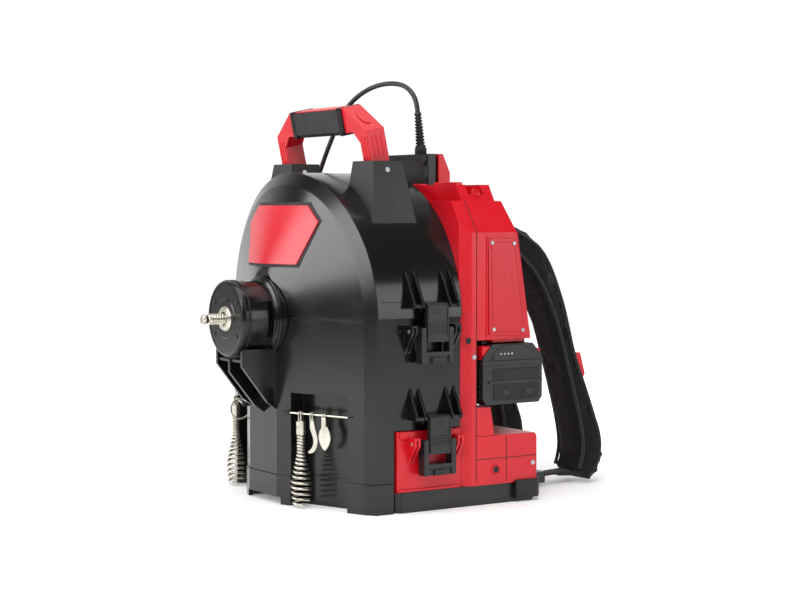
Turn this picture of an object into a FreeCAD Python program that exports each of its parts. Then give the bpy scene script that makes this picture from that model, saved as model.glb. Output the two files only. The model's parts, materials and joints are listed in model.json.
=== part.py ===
"""Backpack drum drain-cleaning machine: a closed drum housing docked on a battery powerbase.

Frame, in millimetres: +Z up, Z=0 the floor.  The drum turns about a horizontal axis along Y at
Z=axis_z, the cable leaves towards -Y, and Y=0 is the joint face between the drum housing and the
powerbase.  X=0 is the middle of the machine.
"""
import FreeCAD, Part
import math
import os

import Sketcher
from FreeCAD import Placement, Rotation, Vector

# ---------------------------------------------------------------- driving dimensions

DIMENSIONS = {
    # drum housing
    "axis_z": 250, "arch_radius": 197, "wall": 4, "half_width": 193,
    "front_y": -192, "facet_x": 38, "facet_end_x": 179, "facet_end_y": -141, "side_y": -131,
    "skirt_z": 40, "split_z": 254, "crease_z": 276, "joint_gap": 0.4,
    "cone_nose_z": 66, "cone_x_slope": 2.765, "cone_z_slope": 3.257, "band_x_slope": 1.8,
    "band_z_slope": 1.9, "band_x": 87.2, "band_z": 113.5, "band_back_y": -125,
    "seat_y": -104, "seat_z": 108, "seat_half": 176, "seat_floor_z": 47,
    # cable outlet
    "snout_radius": 51, "snout_bore": 30, "snout_front_y": -249, "cap_thickness": 9,
    "bush_radius": 17.5, "bush_bore": 10, "cable_radius": 7.9, "cable_tip_y": -284,
    # recess and tool rod on each swept facet, measured along the facet from its front corner
    "recess_start": 25, "recess_end": 122, "recess_depth": 25, "recess_top_z": 152,
    "recess_low_z": 11, "rod_z": 126, "rod_radius": 1.4, "rod_out": 5, "rod_start": 21,
    "rod_end": 127, "eye_bore": 1.45,
    # carry handle
    "tower_top_z": 461, "tower_low_z": 377, "handle_x": 111, "handle_y": -79,
    "handle_foot_z": 462, "handle_reach": 75, "grip_half": 68,
    # drum and drive
    "drum_radius": 165, "drum_rear_y": -20, "drum_edge_y": -115, "drum_front_y": -180,
    "drum_nose_radius": 40, "drum_wall": 3, "gear_module": 1.25, "gear_teeth": 60,
    "pinion_teeth": 15, "gear_y": 6, "gear_width": 10, "motor_radius": 32,
    "shaft_radius": 9,
    # powerbase
    "base_half": 200, "column_chamfer": 14, "shoulder_z": 366,
    "roof_x": 172, "roof_z": 408, "box_low_z": 222, "box_back_y": 112, "box_roof_y": 82,
    "seat_front_y": -101, "sled_z": 27, "low_box_back_y": 123, "low_box_z": 93,
    "shell_split_y": 22, "saddle_x": 152, "saddle_z": 430, "saddle_floor_z": 414,
    # battery
    "battery_y": 29, "battery_width": 99, "battery_low_z": 135, "battery_seam_z": 192,
    "battery_top_z": 216, "battery_end_x": 205, "battery_length": 140,
    # latches, heights measured from the level they close over
    "upper_latch_z": 254, "lower_latch_z": 107, "upper_latch_y": -49, "lower_latch_y": -45,
    "latch_out": 20, "pivot_drop": 16, "pivot_out": 10.5, "pivot_radius": 1.6,
    "hook_drop": 27, "hook_out": 17, "trunnion_radius": 2,
    # pedal, stored upright in the saddle
    "pedal_half": 66, "pedal_y": 35, "pedal_low_z": 414, "pedal_high_z": 474,
    "pedal_pin_y": 60, "pedal_pin_z": 422, "cord_radius": 3.5,
    # harness
    "strap_in_x": 65, "strap_out_x": 125,
}

doc = FreeCAD.newDocument("DrainCleaner")
sheet = doc.addObject("Spreadsheet::Sheet", "Dims")


class Size:
    """A number together with the sheet expression that gives it."""

    def __init__(self, number, text):
        self.number = float(number)
        self.text = text

    def __add__(self, other):
        other = size(other)
        return Size(self.number + other.number, f"({self.text} + {other.text})")

    def __sub__(self, other):
        other = size(other)
        return Size(self.number - other.number, f"({self.text} - {other.text})")

    def __mul__(self, other):
        other = size(other)
        return Size(self.number * other.number, f"({self.text} * {other.text})")

    def __truediv__(self, other):
        other = size(other)
        return Size(self.number / other.number, f"({self.text} / {other.text})")

    def __neg__(self):
        return Size(-self.number, f"(0 - {self.text})")

    __radd__ = __add__

    def __rsub__(self, other):
        return size(other) - self

    __rmul__ = __mul__

    def __float__(self):
        return self.number


def size(value):
    """A Size as it is, or a plain number as a Size of its own."""
    if isinstance(value, Size):
        return value
    return Size(value, f"({float(value):.6f})")


class Dimensions:
    """The sheet's aliases as Sizes: dim.wall is the cell named wall."""

    def __init__(self, table):
        for row, (name, value) in enumerate(table.items(), start=1):
            sheet.set(f"A{row}", name)
            sheet.set(f"B{row}", str(value))
            sheet.setAlias(f"B{row}", name)
            setattr(self, name, Size(value, f"Dims.{name}"))


dim = Dimensions(DIMENSIONS)
doc.recompute()

# ---------------------------------------------------------------- building blocks

AXES = {"X": Vector(1, 0, 0), "Y": Vector(0, 1, 0), "Z": Vector(0, 0, 1)}
FACET_RUN = math.hypot(dim.facet_end_x.number - dim.facet_x.number,
                       dim.facet_end_y.number - dim.front_y.number)
FACET_ALONG = Vector((dim.facet_end_x.number - dim.facet_x.number) / FACET_RUN,
                     (dim.facet_end_y.number - dim.front_y.number) / FACET_RUN, 0)
FACET_OUT = Vector(FACET_ALONG.y, -FACET_ALONG.x, 0)
FACET_TURN = Rotation(AXES["Z"], math.degrees(math.atan2(FACET_ALONG.y, FACET_ALONG.x)))

sub_parts = {}


def part(node, obj):
    """Name obj as the finished sub-part NODE."""
    obj.Label = node
    sub_parts[node] = obj
    return obj


def place(obj, x=0, y=0, z=0, turn=None):
    """Put obj at (x, y, z), each bound to the sheet, with a fixed rotation."""
    obj.Placement = Placement(Vector(float(x), float(y), float(z)), turn or Rotation())
    for name, value in (("x", x), ("y", y), ("z", z)):
        obj.setExpression(f"Placement.Base.{name}", size(value).text)
    return obj


def block(name, x, y, z):
    """A box between two values on each axis."""
    obj = doc.addObject("Part::Box", name)
    for prop, (low, high) in (("Length", x), ("Width", y), ("Height", z)):
        obj.setExpression(prop, (size(high) - low).text)
    return place(obj, x[0], y[0], z[0])


def bar(name, radius, start, direction, length):
    """A round bar from start along a direction."""
    obj = doc.addObject("Part::Cylinder", name)
    obj.setExpression("Radius", size(radius).text)
    obj.setExpression("Height", size(length).text)
    return place(obj, *start, turn=Rotation(AXES["Z"], direction))


def taper(name, radius_low, radius_high, start, direction, length):
    """A round taper from start along a direction."""
    obj = doc.addObject("Part::Cone", name)
    obj.setExpression("Radius1", size(radius_low).text)
    obj.setExpression("Radius2", size(radius_high).text)
    obj.setExpression("Height", size(length).text)
    return place(obj, *start, turn=Rotation(AXES["Z"], direction))


def sketch_outline(body, role, points, offset):
    """A closed outline of straight lines on one of the body's own origin planes."""
    sketch = body.newObject("Sketcher::SketchObject", body.Name + "Outline")
    origin_plane = [o for o in body.Origin.OriginFeatures if o.Role == role][0]
    sketch.AttachmentSupport = [(origin_plane, "")]
    sketch.MapMode = "FlatFace"
    sketch.setExpression("AttachmentOffset.Base.z", size(offset).text)
    corners = [Vector(float(u), float(v), 0) for u, v in points]
    count = len(corners)
    for i in range(count):
        sketch.addGeometry(Part.LineSegment(corners[i], corners[(i + 1) % count]), False)
    for i in range(count):
        sketch.addConstraint(Sketcher.Constraint("Coincident", i, 2, (i + 1) % count, 1))
    for i, point in enumerate(points):
        for kind, value in zip(("DistanceX", "DistanceY"), point):
            row = sketch.addConstraint(Sketcher.Constraint(kind, -1, 1, i, 1, float(value)))
            if isinstance(value, Size):
                sketch.setExpression(f"Constraints[{row}]", value.text)
    return sketch


def plate(name, plane, points, low, high):
    """An outline on the XY, XZ or YZ plane, made solid from low to high on the third axis."""
    body = doc.addObject("PartDesign::Body", name)
    toward_minus = plane == "XZ"
    offset = -size(high) if toward_minus else size(low)
    sketch = sketch_outline(body, plane + "_Plane", points, offset)
    pad = body.newObject("PartDesign::Pad", name + "Pad")
    pad.Profile = sketch
    pad.setExpression("Length", (size(high) - low).text)
    return body


def turned(name, points):
    """A solid of revolution about the body's own Y axis from (radius, y) points."""
    body = doc.addObject("PartDesign::Body", name)
    sketch = sketch_outline(body, "XY_Plane", points, 0)
    spin = body.newObject("PartDesign::Revolution", name + "Spin")
    spin.Profile = sketch
    spin.ReferenceAxis = (sketch, ["V_Axis"])
    spin.Angle = 360
    return body


def on_drum_axis(obj):
    """Lift a turned body to the drum's axis."""
    return place(obj, 0, 0, dim.axis_z)


def upright(obj, x, y, z):
    """Stand a turned body up, its own Y axis along +Z."""
    return place(obj, x, y, z, turn=Rotation(AXES["X"], 90))


def fuse(name, *pieces):
    obj = doc.addObject("Part::MultiFuse", name)
    obj.Shapes = list(pieces)
    return obj


def overlap(name, *pieces):
    obj = doc.addObject("Part::MultiCommon", name)
    obj.Shapes = list(pieces)
    return obj


def cut(name, base, *tools):
    obj = doc.addObject("Part::Cut", name)
    obj.Base = base
    obj.Tool = tools[0] if len(tools) == 1 else fuse(name + "Tools", *tools)
    return obj


def mirrored(name, source):
    """The same piece on the other side of X=0."""
    obj = doc.addObject("Part::Mirroring", name)
    obj.Source = source
    obj.Normal = AXES["X"]
    return obj


def group(name, *pieces):
    """Separate solids that share one node."""
    obj = doc.addObject("Part::Compound", name)
    obj.Links = list(pieces)
    return obj


def moved(name, source, x=0, y=0, z=0, turn=None):
    """A copy of source, moved as a whole."""
    obj = doc.addObject("Part::Compound", name)
    obj.Links = [source]
    return place(obj, x, y, z, turn)


def shape_feature(name, shape):
    obj = doc.addObject("Part::Feature", name)
    obj.Shape = shape
    return obj


def symmetric(points):
    """An outline from its right half, given from bottom to top."""
    return points + [(-size(x), y) for x, y in reversed(points)]


def facet_point(along, out=0):
    """X and Y of a point beside the right facet: along it, and out from it."""
    spot = Vector(dim.facet_x.number, dim.front_y.number, 0)
    return spot + FACET_ALONG * float(along) + FACET_OUT * float(out)


# ---------------------------------------------------------------- drum housing


def ellipse_at(name, y, semi_x, semi_z):
    obj = doc.addObject("Part::Ellipse", name)
    obj.setExpression("MajorRadius", size(semi_z).text)
    obj.setExpression("MinorRadius", size(semi_x).text)
    return place(obj, 0, y, dim.axis_z, Rotation(AXES["Z"], AXES["X"], AXES["Y"], "ZXY"))


def cone_loft(name, front, x_front, z_front, x_slope, z_slope):
    """A cone about the drum's axis, wider across Z than X, from front back to band_back_y."""
    run = dim.band_back_y - front
    small = ellipse_at(name + "Front", front, x_front, z_front)
    large = ellipse_at(name + "Back", dim.band_back_y, x_front + run * x_slope,
                       z_front + run * z_slope)
    obj = doc.addObject("Part::Loft", name)
    obj.Sections = [small, large]
    obj.Solid = True
    obj.Ruled = True
    return obj


def dome(name, inset):
    """The arched housing's outer form, moved in by inset: arch, chamfer band and front cone."""
    front = dim.front_y + inset
    cone = cone_loft(name + "Cone", front, dim.facet_x, dim.cone_nose_z, dim.cone_x_slope,
                     dim.cone_z_slope)
    band = cone_loft(name + "Band", front, dim.band_x - inset * 0.4, dim.band_z - inset * 0.4,
                     dim.band_x_slope, dim.band_z_slope)
    arch = bar(name + "Arch", dim.arch_radius - inset, (0, front, dim.axis_z), AXES["Y"], -front)
    behind = block(name + "Behind", (-240, 240), (dim.band_back_y, 0), (0, 500))
    ahead = overlap(name + "Ahead", cone, band)
    return overlap(name, fuse(name + "Whole", ahead, behind), arch)


def plan_outline(inset):
    """Half of the lower housing's plan, front to back, moved in by inset."""
    return [(dim.facet_x - inset * 0.3, dim.front_y + inset),
            (dim.facet_end_x - inset * 0.8, dim.facet_end_y + inset * 0.8),
            (dim.half_width - inset, dim.side_y + inset * 0.7)]


def lower_form(name, inset, low, high, back):
    half = plan_outline(inset) + [(dim.half_width - inset, back)]
    return plate(name, "XY", symmetric(half), low, high)


def facet_block(name, start, end, depth, out, low, high):
    """A box along the right facet, from depth inside it to out beyond it, and its mirror image."""
    corner = facet_point(start, out)
    obj = doc.addObject("Part::Box", name + "Right")
    obj.setExpression("Length", (size(end) - start).text)
    obj.setExpression("Width", (size(depth) + out).text)
    obj.setExpression("Height", (size(high) - low).text)
    place(obj, corner.x, corner.y, low, FACET_TURN)
    return fuse(name, obj, mirrored(name + "Left", obj))


def recess(name, grow, low, high):
    """The tool recess on each facet, grown by the thickness of a wall."""
    return facet_block(name, dim.recess_start - grow, dim.recess_end + grow,
                       dim.recess_depth + grow, 20, low, high)


def hub_opening(name):
    return bar(name, 45, (0, dim.drum_rear_y, dim.axis_z), AXES["Y"], 40)


def seat_notch(name, inset):
    """What the powerbase cradle takes out of the lower housing, on both sides and below."""
    side = block(name + "Side", (dim.seat_half - inset, 260), (dim.seat_y - inset, 20),
                 (-10, dim.seat_z + inset))
    under = block(name + "Under", (-260, 260), (dim.seat_y - inset, 20),
                  (-10, dim.seat_floor_z + inset))
    return fuse(name, side, mirrored(name + "SideLeft", side), under)


BADGE_OUTLINE = symmetric([(66, 323), (93, 380), (67, 402)])


def upper_shell():
    """Arched top half, open inside, with a belt above the joint."""
    low = dim.split_z + dim.joint_gap
    outer = dome("UpperOuter", size(0))
    belt = block("UpperBelt", (-dim.half_width - 2, dim.half_width + 2), (dim.side_y + 2, 0),
                 (low, dim.crease_z))
    inner = cut("UpperInner", dome("UpperHollow", dim.wall),
                block("UpperBackWall", (-300, 300), (-dim.wall, 10), (0, 600)))
    above = block("UpperHalf", (-300, 300), (dim.front_y - 10, 0), (low, 600))
    shell = overlap("UpperShellTop", fuse("UpperSolid", outer, belt, snout_boss("UpperBoss")),
                    above)
    return part("upper_shell", cut("UpperShell", shell, inner, hub_opening("UpperHub"),
                                   snout_opening("UpperSnoutHole"), seam_slot("UpperSlot")))


def snout_boss(name):
    """Round pad behind the outlet's flange, where the facets fall away from it."""
    return bar(name, dim.snout_radius + 4, (0, dim.front_y, dim.axis_z), AXES["Y"], 12)


def snout_opening(name):
    return bar(name, dim.snout_bore, (0, dim.front_y - 5, dim.axis_z), AXES["Y"], 25)


def seam_slot(name):
    """The shallow slot along the joint on each swept facet."""
    return facet_block(name, 19, 149, 3, 20, dim.split_z - 4, dim.split_z + 4)


def latch_ledge(name, level, middle):
    """Ledge that a hook closes over, with two pairs of wedge ribs above it, on both sides."""
    wall = dim.half_width - 3
    out = dim.half_width + dim.latch_out
    shelf = block(name + "Shelf", (wall, dim.half_width + 10), (middle - 20, middle + 20),
                  (level + 9, level + 16))
    pieces = [shelf]
    for i, (near, far) in enumerate(((-37, -20), (20, 37))):
        pieces.append(block(f"{name}Foot{i}", (wall, out - 2), (middle + near, middle + far),
                            (level + 14.5, level + 19)))
    for i, offset in enumerate((-36, -23, 20, 33)):
        rib = plate(f"{name}Rib{i}", "XZ", [(wall, level + 15), (out, level + 15), (out, level + 19),
                                            (wall, level + 62)], middle + offset, middle + offset + 3)
        pieces.append(rib)
    right = fuse(name + "LedgeRight", *pieces)
    return fuse(name + "Ledges", right, mirrored(name + "LedgeLeft", right))


def latch_ledges():
    """The ledges of all four latches, bonded to the outside of the housing halves."""
    top = fuse("LedgeArch", dome("LedgeDome", size(0)),
               block("LedgeBelt", (-dim.half_width - 2, dim.half_width + 2), (dim.side_y + 2, 0),
                     (dim.split_z + dim.joint_gap, dim.crease_z)))
    upper = cut("UpperLedgesShaped", latch_ledge("Upper", dim.upper_latch_z, dim.upper_latch_y),
                top)
    lower = cut("LowerLedgesShaped", latch_ledge("LowerLatch", dim.lower_latch_z, dim.lower_latch_y),
                lower_form("LedgeSide", size(0), dim.skirt_z, dim.split_z, 0))
    part("latch_ledges", group("LatchLedges", upper, lower))


def latch_ears(name, level, middle):
    """Tapered ears on both sides that carry a latch's pivot pin."""
    wall = dim.half_width - 3
    pieces = []
    for i, offset in enumerate((-39, -33, 29.5, 35.5)):
        pieces.append(plate(f"{name}Ear{i}", "XZ",
                            [(wall, level - 50), (wall, level - 8), (dim.half_width + 18, level - 8),
                             (dim.half_width + 18, level - 19)],
                            middle + offset, middle + offset + 3.5))
    for i, offset in enumerate((-39, 29.5)):
        pieces.append(block(f"{name}EarCap{i}", (wall, dim.half_width + 18),
                            (middle + offset, middle + offset + 9.5), (level - 11, level - 8)))
    holes = bar(name + "EarHole", dim.pivot_radius,
                (dim.half_width + dim.pivot_out, middle - 41, level - dim.pivot_drop), AXES["Y"], 82)
    right = cut(name + "EarsRight", fuse(name + "EarPieces", *pieces), holes)
    return fuse(name + "Ears", right, mirrored(name + "EarsLeft", right))


def lower_shell():
    """Lower half of the housing: swept facets, tool recesses and the notch for the cradle."""
    outer = lower_form("LowerOuter", size(0), dim.skirt_z, dim.split_z, 0)
    ears = latch_ears("LowerShell", dim.upper_latch_z, dim.upper_latch_y)
    boss = block("LowerBossLimit", (-100, 100), (-300, 0), (100, dim.split_z))
    boss = overlap("LowerBoss", snout_boss("LowerBossRound"), boss)
    outer = cut("LowerOuterCut", fuse("LowerSolid", outer, ears, boss),
                recess("LowerRecess", 0, dim.recess_low_z, dim.recess_top_z),
                seat_notch("LowerNotch", 0))
    inner = cut("LowerInner",
                lower_form("LowerHollow", dim.wall, dim.skirt_z + dim.wall, dim.split_z + 10,
                           -dim.wall),
                recess("LowerRecessWall", 4, 0, dim.recess_top_z + dim.wall),
                seat_notch("LowerNotchWall", 4))
    return part("lower_shell", cut("LowerShell", outer, inner, hub_opening("LowerHub"),
                                   snout_opening("LowerSnoutHole"), seam_slot("LowerSlot")))


def base_tray():
    """Skirt under the housing, on corner posts; the tool recesses run on down through it."""
    outer = lower_form("TrayOuter", size(-1), 0, dim.skirt_z - dim.joint_gap, dim.seat_y - 1)
    hollow = cut("TrayRoom", lower_form("TrayHollow", size(5), -1, dim.skirt_z - 5, dim.seat_y - 6),
                 recess("TrayRecessWall", 5, -2, dim.recess_top_z))
    arch = block("TrayArch", (-45, 45), (dim.front_y - 10, dim.front_y + 20), (-1, 10))
    return part("base_tray", cut("BaseTray", outer, hollow, arch,
                                 recess("TrayRecess", 0, dim.recess_low_z - 20, dim.recess_top_z)))


def front_badge():
    """Blank hexagonal plate that follows the cone above the cable outlet."""
    skin = cut("BadgeSkin", dome("BadgeTop", size(-2.45)), dome("BadgeUnder", size(-0.05)))
    return part("front_badge", overlap("FrontBadge", skin,
                                       plate("BadgeEdge", "XZ", BADGE_OUTLINE, -240, -150)))


# ---------------------------------------------------------------- cable outlet


def snout():
    """Barrel with flange and side pocket, screwed end cap, and the steel guide bush."""
    front = dim.snout_front_y + dim.cap_thickness
    profile = [(dim.snout_bore, front), (dim.snout_radius, front),
               (dim.snout_radius, dim.front_y - 8), (dim.snout_radius + 4, dim.front_y - 6),
               (dim.snout_radius + 4, dim.front_y), (dim.snout_bore, dim.front_y)]
    barrel = on_drum_axis(turned("SnoutBarrelTurned", profile))
    pocket = block("SnoutPocket", (dim.snout_radius - 14, 80),
                   (dim.front_y - 19, dim.front_y - 10), (dim.axis_z - 24, dim.axis_z + 24))
    hood = block("SnoutHood", (-16, 16), (dim.front_y - 34, dim.front_y - 10),
                 (dim.axis_z + dim.snout_radius - 7, 320))
    part("snout_barrel", cut("SnoutBarrel", barrel, pocket, mirrored("SnoutPocketLeft", pocket),
                             hood))
    cap = [(dim.bush_radius, dim.snout_front_y), (dim.snout_radius - 2, dim.snout_front_y),
           (dim.snout_radius, dim.snout_front_y + 2), (dim.snout_radius, front),
           (dim.bush_radius, front)]
    part("snout_cap", on_drum_axis(turned("SnoutCap", cap)))
    bush = [(dim.bush_bore, dim.snout_front_y - 3), (dim.bush_radius - 2, dim.snout_front_y - 3),
            (dim.bush_radius, dim.snout_front_y), (dim.bush_radius, dim.snout_front_y + 24),
            (dim.bush_bore, dim.snout_front_y + 24)]
    part("cable_guide_bush", on_drum_axis(turned("CableGuideBush", bush)))


def snout_bracket():
    """Three rib plates and a foot that carry the barrel from below."""
    pieces = []
    for i, (x, knee, foot) in enumerate(((-38, 187, 138), (-2.5, 178, 131), (33, 187, 138))):
        pieces.append(plate(f"BracketRib{i}", "YZ",
                            [(dim.front_y, foot - 10), (dim.front_y - 14, foot),
                             (dim.front_y - 52, knee), (dim.front_y - 52, 240),
                             (dim.front_y, 240)], x, x + 5))
    pieces.append(block("BracketBack", (-38, 38), (dim.front_y - 4, dim.front_y), (134, 200)))
    pieces.append(plate("BracketShelf", "YZ",
                        [(dim.front_y - 10, 196), (dim.front_y - 50, 192),
                         (dim.front_y - 50, 196), (dim.front_y - 10, 200)], -38, 38))
    body = cut("BracketBody", fuse("BracketPieces", *pieces),
               bar("BracketClear", dim.snout_radius + 4.01, (0, -290, dim.axis_z), AXES["Y"], 100))
    part("snout_bracket", body)


# ---------------------------------------------------------------- carry handle


def tower_wedge(name):
    """Tapered tower that grows from the arch, its long axis turned from Y to Z."""
    obj = doc.addObject("Part::Wedge", name)
    low, high = dim.tower_low_z, dim.tower_top_z
    limits = {"Xmin": 75, "Xmax": 150, "X2min": 83, "X2max": 135, "Zmin": 40, "Zmax": 110,
              "Z2min": 54, "Z2max": 99}
    for prop, value in limits.items():
        setattr(obj, prop, value)
    obj.setExpression("Ymax", (high - low).text)
    obj.Ymin = 0
    return place(obj, 0, 0, low, Rotation(AXES["X"], 90))


HANDLE_LEAN = 12


def leaning(obj):
    """Put an outline drawn upright from the handle's foot where the handle leans forward."""
    return place(obj, 0, dim.handle_y, dim.handle_foot_z, Rotation(AXES["X"], HANDLE_LEAN))


def carry_handle():
    """Handle on two towers; it leans forward, and the grip is a sleeve round its top bar."""
    wedge = tower_wedge("TowerWedge")
    hollow = bar("TowerArch", dim.arch_radius, (0, -200, dim.axis_z), AXES["Y"], 220)
    near, far, depth = dim.handle_x - 10, dim.handle_x + 10, 14
    socket = leaning(plate("TowerSocket", "XZ", [(near, -22), (far, -22), (far, 20), (near, 20)],
                           -depth, depth))
    tower = cut("TowerRight", wedge, hollow, socket)
    part("handle_towers", group("HandleTowers", tower, mirrored("TowerLeft", tower)))
    top = dim.handle_reach
    outer = [(far, -22), (far, 42), (72, top)]
    inner = [(near, -22), (near, 26), (near - 14, top - 34)]
    points = outer + [(-size(x), z) for x, z in reversed(outer)] + [(-size(x), z) for x, z in inner]
    points += [(x, z) for x, z in reversed(inner)]
    bow = plate("HandleBow", "XZ", points, -depth, depth)
    grip_outline = [(-17, top - 32), (-11, top - 37), (11, top - 37), (17, top - 32),
                    (17, top - 3), (12, top), (-12, top), (-17, top - 3)]
    sleeve = plate("GripSleeve", "YZ", grip_outline, -dim.grip_half, dim.grip_half)
    part("handle_grip", leaning(cut("HandleGrip", sleeve, bow)))
    part("carry_handle", leaning(moved("CarryHandle", bow)))


# ---------------------------------------------------------------- drum and drive


def gear_shape(teeth, width, bore):
    """A spur gear along +Y with straight-sided, slightly thinned teeth."""
    module = dim.gear_module.number
    pitch = module * teeth / 2
    tip = pitch + 0.95 * module
    root = pitch - 1.25 * module
    step = 2 * math.pi / teeth
    corners = []
    for i in range(teeth):
        middle = i * step
        for radius, share in ((root, -0.30), (tip, -0.11), (tip, 0.11), (root, 0.30)):
            angle = middle + share * step
            corners.append(Vector(radius * math.cos(angle), 0, radius * math.sin(angle)))
    face = Part.Face(Part.makePolygon(corners + corners[:1]))
    gear = face.extrude(Vector(0, width, 0))
    return gear.cut(Part.makeCylinder(bore, width, Vector(), AXES["Y"]))


def drum():
    """Cable drum of two pans on a hollow shaft, with the stored cable and the driven gear."""
    wall = dim.drum_wall
    edge, nose = dim.drum_edge_y, dim.drum_front_y
    rear = [(dim.shaft_radius, dim.drum_rear_y - wall), (dim.shaft_radius, dim.drum_rear_y),
            (dim.drum_radius, dim.drum_rear_y), (dim.drum_radius, edge),
            (dim.drum_radius - wall, edge), (dim.drum_radius - wall, dim.drum_rear_y - wall)]
    part("drum_rear", on_drum_axis(turned("DrumRear", rear)))
    front = [(dim.drum_radius - wall, edge), (dim.drum_radius, edge),
             (dim.drum_nose_radius, nose), (dim.drum_nose_radius - wall, nose),
             (dim.drum_nose_radius - wall, nose + 2), (dim.drum_radius - wall - 4, edge)]
    part("drum_front", on_drum_axis(turned("DrumFront", front)))
    coil = [(128, -100), (132, -104), (148, -104), (152, -100), (152, -62), (148, -58), (132, -58),
            (128, -62)]
    part("wound_cable", on_drum_axis(turned("WoundCable", coil)))
    shaft = [(0, -40), (dim.shaft_radius + 6, -40), (dim.shaft_radius + 6, dim.drum_rear_y - wall),
             (dim.shaft_radius, dim.drum_rear_y - wall), (dim.shaft_radius, 20), (0, 20)]
    part("drum_shaft", on_drum_axis(turned("DrumShaft", shaft)))
    gear = shape_feature("DriveGear", gear_shape(int(dim.gear_teeth.number), dim.gear_width.number,
                                                 dim.shaft_radius.number))
    part("drive_gear", place(gear, 0, dim.gear_y, dim.axis_z))
    bearing = [(dim.shaft_radius + 0.05, -9), (45, -9), (45, -dim.wall), (24, -dim.wall), (24, 0),
               (dim.shaft_radius + 0.05, 0)]
    part("rear_bearing", on_drum_axis(turned("RearBearing", bearing)))


def motor():
    """Motor can above the drum axis and its rotor with the pinion."""
    centre = dim.gear_module * (dim.gear_teeth + dim.pinion_teeth) / 2
    height = dim.axis_z + centre
    rotor = [(0, dim.gear_y), (5, dim.gear_y), (5, 20), (4, 20), (4, 34), (20, 34), (20, 78), (4, 78),
             (4, 84), (0, 84)]
    shaft = turned("RotorTurned", rotor)
    pinion = shape_feature("PinionTeeth", gear_shape(int(dim.pinion_teeth.number),
                                                     dim.gear_width.number + 2, 5))
    quarter_step = 90 / dim.pinion_teeth.number
    place(pinion, 0, dim.gear_y - 1, 0, Rotation(AXES["Y"], quarter_step))
    both = fuse("RotorPieces", shaft, pinion)
    part("motor_pinion", moved("MotorPinion", both, 0, 0, height))
    can = [(8, 24), (dim.motor_radius, 24), (dim.motor_radius, 83), (8, 83), (8, 80), (24, 80),
           (24, 30), (8, 30)]
    part("motor_can", place(turned("MotorCan", can), 0, 0, height))


def cable_end():
    """The straight end of the cable, from inside the drum to its tip beyond the outlet."""
    tip = dim.cable_tip_y
    narrow = dim.snout_front_y - 5
    straight = [(0, -46), (dim.cable_radius, -46), (dim.cable_radius, narrow), (6.6, narrow - 1),
                (6.6, tip + 9), (5.2, tip + 8), (5.2, tip + 5), (7.4, tip + 4), (7.4, tip + 1),
                (6.4, tip), (0, tip)]
    part("cable_end", on_drum_axis(turned("CableEnd", straight)))


# ---------------------------------------------------------------- latches


def latch(name, level, middle):
    """One over-centre latch on each side: a lever frame on ears, and the hook it carries."""
    wall = dim.half_width
    arms = []
    for i, offset in enumerate((-25, 18)):
        arms.append(block(f"{name}Arm{i}", (wall + 6.5, wall + 20.5),
                          (middle + offset, middle + offset + 7), (level - 58, level - 11)))
    foot = block(name + "Foot", (wall + 7, wall + 18), (middle - 25, middle + 25),
                 (level - 58, level - 43))
    tab = block(name + "Tab", (wall + 14, wall + 21.5), (middle - 9, middle + 9),
                (level - 58, level - 51))
    pivot = bar(name + "PivotHole", dim.pivot_radius + 0.05,
                (wall + dim.pivot_out, middle - 30, level - dim.pivot_drop), AXES["Y"], 60)
    socket = bar(name + "Socket", dim.trunnion_radius + 0.05,
                 (wall + dim.hook_out, middle - 30, level - dim.hook_drop), AXES["Y"], 60)
    lever = cut(name + "LeverRight", fuse(name + "Frame", *arms, foot, tab), pivot, socket)
    tongue = plate(name + "Tongue", "XZ",
                   [(wall + 14, level - 30), (wall + 21, level - 30), (wall + 21, level + 18),
                    (wall + 18, level + 21), (wall + 4, level + 21), (wall + 4, level + 16.5),
                    (wall + 14, level + 16.5)], middle - 16.5, middle + 16.5)
    trunnion = bar(name + "Trunnion", dim.trunnion_radius,
                   (wall + dim.hook_out, middle - 22, level - dim.hook_drop), AXES["Y"], 44)
    hook = fuse(name + "HookRight", tongue, trunnion)
    where = name.lower()
    part(f"{where}_lever_right", lever)
    part(f"{where}_hook_right", hook)
    part(f"{where}_lever_left", mirrored(name + "LeverLeft", lever))
    part(f"{where}_hook_left", mirrored(name + "HookLeft", hook))
    return bar(name + "Pin", dim.pivot_radius,
               (wall + dim.pivot_out, middle - 39, level - dim.pivot_drop), AXES["Y"], 78)


def latches():
    upper = latch("Upper", dim.upper_latch_z, dim.upper_latch_y)
    lower = latch("Lower", dim.lower_latch_z, dim.lower_latch_y)
    part("latch_pivot_pins", group("LatchPivotPins", upper, lower,
                                   mirrored("UpperPinLeft", upper), mirrored("LowerPinLeft", lower)))


# ---------------------------------------------------------------- tools on the facets


def facet_bar(name, start, end, radius, out, height):
    corner = facet_point(start, out)
    return bar(name, radius, (corner.x, corner.y, height), FACET_ALONG, size(end) - start)


def hanging_eye(name, along):
    """Ring that carries a tool on its rod."""
    outer = facet_bar(name + "EyeOuter", along - 3, along + 3, 3.6, dim.rod_out.number, dim.rod_z)
    inner = facet_bar(name + "EyeBore", along - 4, along + 4, dim.eye_bore, dim.rod_out.number,
                      dim.rod_z)
    return outer, inner


def hang(name, along, body):
    """A tool below its eye at a place along the rod."""
    eye, bore = hanging_eye(name, along)
    return cut(name, fuse(name + "Pieces", eye, body), bore)


def funnel_auger(name, along):
    spot = facet_point(along, dim.rod_out)
    outline = [(0, 3), (12, 3), (15, 33), (5.9, 72), (5.9, 100), (6.5, 100), (6.5, 117), (2.4, 117),
               (2.4, 124), (0, 124)]
    return hang(name, along, upright(turned(name + "Turned", outline),
                                     spot.x, spot.y, 0))


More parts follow.
